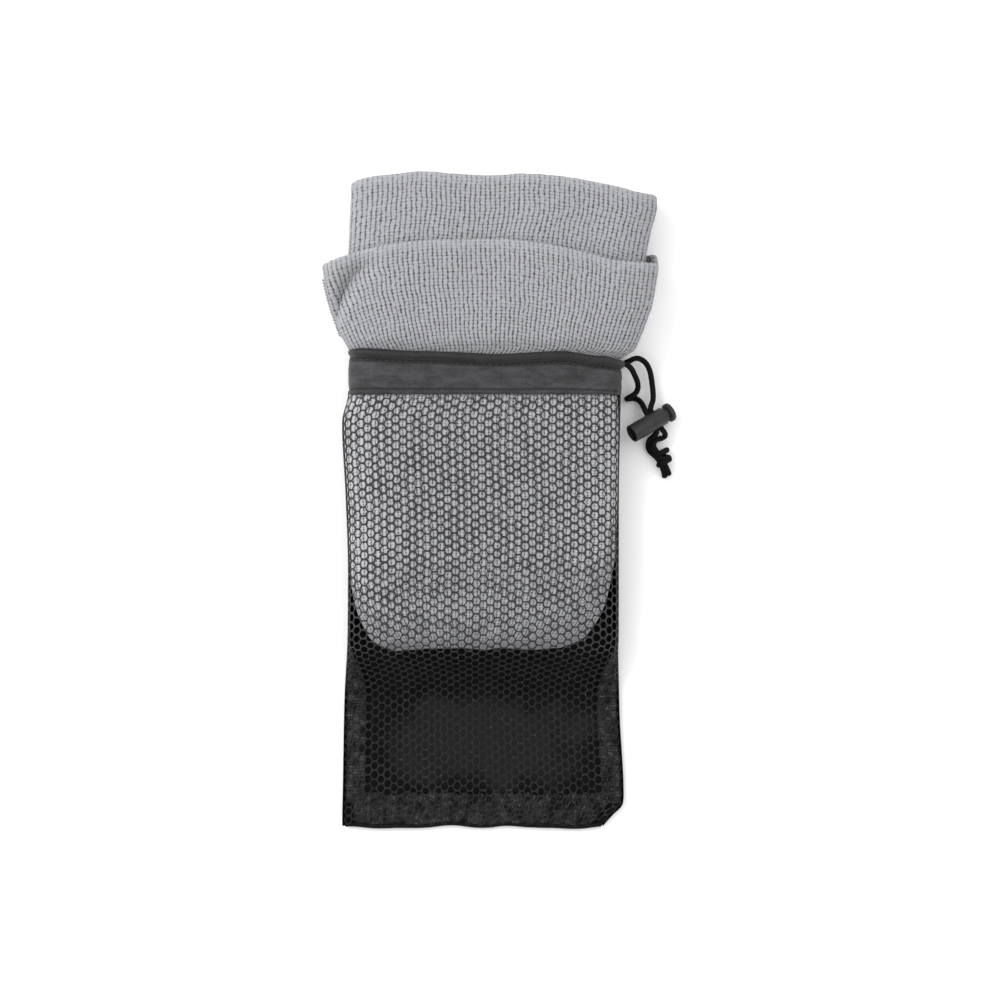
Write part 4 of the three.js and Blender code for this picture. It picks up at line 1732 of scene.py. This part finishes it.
@dataclass
class Towel:
    """A towel folded in half lengthwise and rolled flat, the last turn lying lower."""

    form: PouchForm
    stock: Stock
    cut: tuple[float, float] = (0.5, 1.0)
    ply: float = 3.4
    gap: float = 0.7
    rib: float = 2.28
    pearl: float = 1.6
    pearl_height: float = 0.3
    foot: float = -74.5
    fine_depth: float = 52.0
    wrap_rows: tuple[tuple[float, ...], ...] = (
        (-74.5, -50, 31, 9.5, 18), (-73.5, -54, 37, 7.5, 21.5),
        (-71, -57.5, 42, 5.5, 24.6), (-68, -60.5, 46.5, 4, 26.4),
        (-62, -63.8, 51.5, 2.6, 28), (-55.5, -66.5, 55.2, 2, 28.7),
        (-47, -68.6, 58, 1.7, 28.9), (-38, -69.9, 59.9, 1.6, 29),
        (-28, -70.2, 61.6, 1.5, 29.4), (0, -71.2, 62.8, 1.4, 29.4),
        (38, -73.0, 63.3, 1.4, 29.4), (51, -70.6, 62.9, 1.8, 28.2),
        (56, -69.2, 62.7, 2.0, 27.7), (69, -69.1, 62.7, 2.0, 27.7),
        (72, -69.2, 66.4, 1.8, 27.9), (75.5, -70.8, 71.6, 1.2, 29.2),
        (81, -74, 74.3, 0.6, 32), (90, -77.4, 77.7, 0.4, 33.6),
        (96, -79.4, 79.8, 0.4, 34), (108, -82.4, 82.0, 0.4, 34),
        (115, -83.6, 83.0, 0.4, 34), (129, -84.6, 83.4, 0.5, 33.6),
    )
    bundle_rows: tuple[tuple[float, ...], ...] = (
        (-74.5, -44, 26, 10.5, 17), (-68, -56.3, 42.3, 8.1, 22.2),
        (-47, -64.4, 53.8, 5.8, 24.7), (0, -66.7, 58, 5.5, 25),
        (56, -65, 58.5, 6.1, 23.6), (69, -65, 58.5, 6.1, 23.6),
        (77, -66.5, 62.5, 5.6, 24.6), (86, -69, 68.5, 4.9, 27.6),
        (100, -70.3, 73.6, 4.5, 29), (122, -70.5, 77, 4.2, 30),
        (134, -70.1, 79.6, 1.6, 30.3), (146, -69.5, 82.3, 0.6, 30.5),
        (164, -69.2, 82.3, 0.6, 30.2),
    )
    bundle_top: tuple[tuple[float, float], ...] = (
        (-70, 153), (-68.5, 156.4), (-63, 158.7), (-50, 160.4), (-36, 161.9),
        (-20, 160.8), (-5.5, 160.2), (12, 161.3), (27, 160.5), (54.5, 156), (67, 153),
        (79, 151.6), (81.4, 149.5), (82.4, 146),
    )
    wrap_top: tuple[tuple[float, float], ...] = (
        (-84, 113.6), (-82.3, 115.6), (-73, 119.5), (-55.5, 124.5), (-25.5, 128),
        (4.5, 128.5), (27, 126), (49.5, 121), (61, 118), (77, 116.7), (83, 116.4),
    )

    def extents(self, turn: Numbers, y: Numbers) -> Oval:
        """The oval of each turn of the roll at y; turn 0 is the outer wrap."""
        wrap = list(zip(*self.wrap_rows))
        core = list(zip(*self.bundle_rows))
        first = [smooth_table(wrap[0], wrap[i], y) for i in range(1, 5)]
        second = [smooth_table(core[0], core[i], y) for i in range(1, 5)]
        share = np.clip(turn, 0, 1)
        inset = np.maximum(turn - 1, 0) * (self.ply + self.gap)
        left, right, low, high = (
            a * (1 - share) + b * share for a, b in zip(first, second)
        )
        low, high = low + inset, high - inset
        thin = np.maximum(3.0 - (high - low), 0) / 2
        low, high = low - thin, high + thin
        crown = 4.2 - 0.5 * np.clip(turn, 0, 3)
        return Oval(left + inset, right - inset, low, high, (low + high) / 2, crown)

    def columns(self) -> tuple[Numbers, Numbers, Numbers]:
        """The roll's columns, from the free edge inwards.

        Returns:
            Length along the cloth, turn with its fraction, and angle of each column.
        """
        fine = np.linspace(0, 4, 16001)
        whole = np.floor(fine)
        angle = np.pi - rounded_turn(fine - whole) * 2 * np.pi
        turn = whole + ease(0.62, 0.98, fine - whole)
        y = np.full(len(fine), 97.0)
        oval = self.extents(turn, y)
        x, z = oval.at(angle, self.ply / 2)
        along = np.concatenate([[0], np.cumsum(np.hypot(np.diff(x), np.diff(z)))])
        end = self.cut[1] / MM
        stops = [0.0]
        while stops[-1] < end:
            here = float(np.interp(stops[-1], along, fine))
            part = here - math.floor(here)
            seen = here < 1.62 and (part < 0.60 or part > 0.94)
            stops.append(stops[-1] + (self.rib / 3 if seen else self.rib * 1.5))
        s = np.array(stops[:-1])
        at = np.interp(s, along, fine)
        return s, at, np.pi - rounded_turn(at - np.floor(at)) * 2 * np.pi

    def top_of(self, at: Numbers, x: Numbers) -> Numbers:
        """Y of the folded top edge of each column."""
        wrap = smooth_table(*map(list, zip(*self.wrap_top)), x)
        core = smooth_table(*map(list, zip(*self.bundle_top)), x)
        part = at - np.floor(at)
        behind = ease(0.5, 0.56, part)
        back_wrap = 118.5 + 5.0 * ease(60, 76, x) + 2.0 * np.sin(x / 17)
        first = wrap * (1 - behind) + back_wrap * behind
        depth = np.maximum(at - 1, 0)
        second = core - 2.2 * depth - 0.8 * np.sin(at * 5)
        change = ease(0.86, 0.985, at)
        return first * (1 - change) + second * change

    def shape_at(self, at: Numbers, angle: Numbers, y: Numbers) -> Numbers:
        """Middle of the double cloth for each column at y."""
        part = at - np.floor(at)
        turn = np.floor(at) + ease(0.62, 0.98, part)
        oval = self.extents(turn, y)
        x, z = oval.at(angle, self.ply / 2)
        return np.stack([x, y, z], axis=-1)

    def flap(self, points: Numbers, at: Numbers) -> Numbers:
        """The flared flap at the free edge: a valley beside the swell of the front.

        Args:
            points: the front's points.
            at: turn of each point.

        Returns:
            How far each point sinks, millimetres.
        """
        x, y = points[..., 0], points[..., 1]
        line = smooth_table(
            [78, 86, 96, 104, 110, 116], [-74.2, -75.0, -74.3, -71.8, -68.2, -63], y
        )
        wide = smooth_table([78, 88, 98, 106, 114], [1.2, 1.9, 3.4, 5.6, 8.0], y)
        deep = smooth_table(
            [76, 84, 94, 104, 112, 119, 125], [0, 2.6, 5.6, 7.6, 6.4, 3.4, 1.5], y
        )
        front = (at < 0.5).astype(float)
        return front * deep * np.exp(-(((x - line) / wide) ** 2))

    def build(self) -> None:
        """Makes the towel and its hem and sets them on their body."""
        s, at, angle = self.columns()
        rough = self.shape_at(at, angle, np.full(len(s), 110.0))
        top = self.top_of(at, rough[:, 0])
        half = self.ply / 2
        step = self.pearl / 3
        fine = np.arange(0, self.fine_depth, step)
        coarse = np.linspace(0, 1, 130)[1:]
        down_front = len(fine) + len(coarse)
        start = top - half
        y_fine = start[None, :] - fine[:, None]
        foot = self.foot + 0.9 * unevenness(rough[:, 0], angle, 13, 15)
        y_coarse = y_fine[-1] + (foot - y_fine[-1]) * coarse[:, None]
        y_front = np.vstack([y_fine, y_coarse])
        back_share = np.linspace(0, 1, 46)[1:]
        y_back = start[None, :] + (foot - start[None, :]) * back_share[:, None]
        beta = np.linspace(0, np.pi, 9)[1:-1]

        def middle(y: Numbers) -> tuple[Numbers, Numbers]:
            """Middle of the double cloth at y, and the direction out of it."""
            a = np.broadcast_to(at, y.shape)
            g = np.broadcast_to(angle, y.shape)
            p = self.shape_at(a, g, y)
            p[..., 2] -= self.flap(p, a)
            swell = 0.9 * unevenness(p[..., 0], p[..., 1] * 0.6, 24, 11)
            swell += 0.35 * unevenness(p[..., 0], p[..., 1], 9, 12)
            free = ease(74, 88, p[..., 1]) * np.clip(np.sin(g) * 3, 0, 1)
            p[..., 2] += swell * free
            d_s = np.gradient(p, axis=1)
            d_y = np.gradient(p, axis=0) if y.shape[0] > 1 else np.zeros_like(p)
            if y.shape[0] == 1:
                d_y[..., 1] = -1.0
            n = unit(np.cross(d_y, d_s))
            return p, n

        pf, nf = middle(y_front)
        pb, nb = middle(y_back)
        pinch = np.ones_like(y_front) - 0.85 * (1 - ease(0, 7, y_front - foot))
        pinch_back = np.ones_like(y_back) - 0.85 * (1 - ease(0, 7, y_back - foot))
        side_a = pf + nf * (half * pinch)[..., None]
        side_b = pb - nb * (half * pinch_back)[..., None]
        crown_p, crown_n = pf[0], nf[0].copy()
        crown_n[:, 1] = 0
        crown_n = unit(crown_n)
        fold = [
            crown_p
            + crown_n * (half * math.cos(b))
            + np.array([0, 1, 0]) * half * math.sin(b)
            for b in beta[::-1]
        ]
        grid = np.vstack([side_b[::-1], np.array(fold), side_a])
        turn_length = np.concatenate(
            [
                -(half * np.pi)
                - (start - y_back.mean(axis=1, keepdims=True))[::-1].mean(1),
                -half * beta[::-1],
                np.concatenate(
                    [fine, fine[-1] + (y_fine[-1].mean() - self.foot) * coarse]
                ),
            ]
        )
        d_s = np.gradient(grid, axis=1)
        d_t = np.gradient(grid, axis=0)
        normal = unit(np.cross(d_t, d_s))
        u = s / self.rib
        v = turn_length / self.pearl
        spacing = np.gradient(s)
        seen = (spacing < self.rib / 2).astype(float)
        seen = np.minimum(seen, np.roll(seen, 3)) * np.minimum(seen, np.roll(seen, -3))
        rib = np.abs(np.sin(np.pi * u)) ** 0.6
        pearls = np.abs(np.sin(np.pi * v)) ** 0.8
        rows_fine = (
            (v > -2) & (v < (self.fine_depth - 2) / self.pearl)
        ).astype(float)
        lumps = 1 + 0.55 * np.random.default_rng(7).uniform(
            -1, 1, (len(v) // 3 + 2, len(u) // 3 + 2)
        ).repeat(3, axis=0)[: len(v)].repeat(3, axis=1)[:, : len(u)]
        relief = (
            self.pearl_height
            * rows_fine[:, None]
            * seen[None, :]
            * rib[None, :]
            * (0.5 + 0.5 * pearls[:, None])
            * lumps
        )
        grid = grid + normal * relief[..., None]
        drift_s = 0.45 * unevenness(s[None, :], turn_length[:, None], 7, 13)
        grid[..., 0] += drift_s * np.clip(np.abs(normal[..., 2]), 0, 1)
        grid[..., 2] = np.maximum(grid[..., 2], 0.05)
        rows, columns = grid.shape[:2]
        cloth = np.stack(
            np.broadcast_arrays(u[None, :], v[:, None]),
            axis=-1,
        )
        piece = make_mesh(
            "towel",
            grid.reshape(-1, 3),
            quad_grid(rows, columns),
            cloth.reshape(-1, 2),
        )
        dress(piece, self.stock.pile, ("towel",))
        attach(piece, "towel")
        LOG.info("towel: %d faces", len(piece.data.polygons))
        hem = self.hem(grid, down_front)

    def hem(self, grid: Numbers, down_front: int) -> bpy.types.Object:
        """Overlock loops along the towel's free edge."""
        first = grid.shape[0] - down_front
        front = grid[first:, 0]
        keep = (front[:, 1] > 80) & (front[:, 1] < 112.5)
        edge = front[keep][::-1]
        edge_line = route([tuple(p) for p in edge[::6]], 0.35)
        edge_line[:, 2] -= self.ply / 2
        edge_line[:, 0] -= 0.55
        along = np.arange(len(edge_line)) * 0.35
        shape = Shape()
        loops = edge_line.copy()
        loops[:, 0] += 0.75 * np.sin(2 * np.pi * along / 1.5)
        loops[:, 2] += 1.5 * np.cos(2 * np.pi * along / 1.5)
        fine = route([tuple(p) for p in loops], 0.25)
        tube(shape, fine, 0.24, 6)
        tube(shape, edge_line + np.array([0.6, 0, 0.0]), 0.6, 8)
        piece = shape.piece("towel_hem_thread")
        dress(piece, self.stock.grey_thread, ("towel_hem_thread",))
        LOG.info("hem: %.0f mm", line_length(edge_line))
        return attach(piece, "towel")


# ---------------------------------------------------------------- studio


@dataclass
class Studio:
    """A white table under big soft lights, seen from straight above."""

    middle: tuple[float, float] = (0.0045, -0.0005)
    distance: float = 2.5
    lens: float = 180.0
    sky: float = 1.05
    key: float = 13.0
    fill: float = 6.0
    side: float = 5.0

    def build(self) -> None:
        """Sets the camera, the floor, the sky and the lights."""
        scene = bpy.context.scene
        lens = bpy.data.cameras.new("studio_camera")
        lens.lens, lens.sensor_width, lens.clip_end = self.lens, 36.0, 20.0
        camera = bpy.data.objects.new("studio_camera", lens)
        camera.location = (*self.middle, self.distance)
        scene.collection.objects.link(camera)
        scene.camera = camera
        scene.view_settings.view_transform = "Standard"
        edge = 3000.0
        table = make_mesh(
            "studio_floor",
            edge * np.array([(-1, -1, 0), (1, -1, 0), (1, 1, 0), (-1, 1, 0)])
            + np.array([0.0, 0.0, -0.1]),
            [[0, 1, 2, 3]],
        )
        table.data.materials.append(StudioFloor().material())
        sky = bpy.data.worlds.new("studio_sky")
        sky.use_nodes = True
        sky.node_tree.nodes["Background"].inputs[0].default_value = (1, 1, 1, 1)
        sky.node_tree.nodes["Background"].inputs[1].default_value = self.sky
        scene.world = sky
        self.lamp("key_light", (-0.95, 0.85, 1.25), 0.75, self.key)
        self.lamp("fill_light", (0.9, 0.5, 1.3), 1.2, self.fill)
        self.lamp("side_light", (-1.15, 0.2, 0.5), 0.8, self.side)

    def lamp(
        self, name: str, where: Point, size: float, power: float
    ) -> None:
        """A square soft light aimed at the middle."""
        light = bpy.data.lights.new(name, "AREA")
        light.shape, light.size, light.energy = "SQUARE", size, power
        lamp = bpy.data.objects.new(name, light)
        lamp.location = where
        aim = Vector((*self.middle, 0.0)) - Vector(where)
        lamp.rotation_euler = aim.to_track_quat("-Z", "Y").to_euler()
        bpy.context.scene.collection.objects.link(lamp)


def main() -> None:
    """Builds the studio, the drawcord, the lock, the pouch and the towel in order."""
    logging.basicConfig(level=logging.INFO, format="%(message)s")
    Studio().build()
    stock = Stock()
    form = PouchForm()
    place = LockPlace()
    Drawcord(stock, place).build()
    CordLock(stock, place).build()
    Pouch(form, stock).build()
    Towel(form, stock).build()


if __name__ == "__main__":
    main()
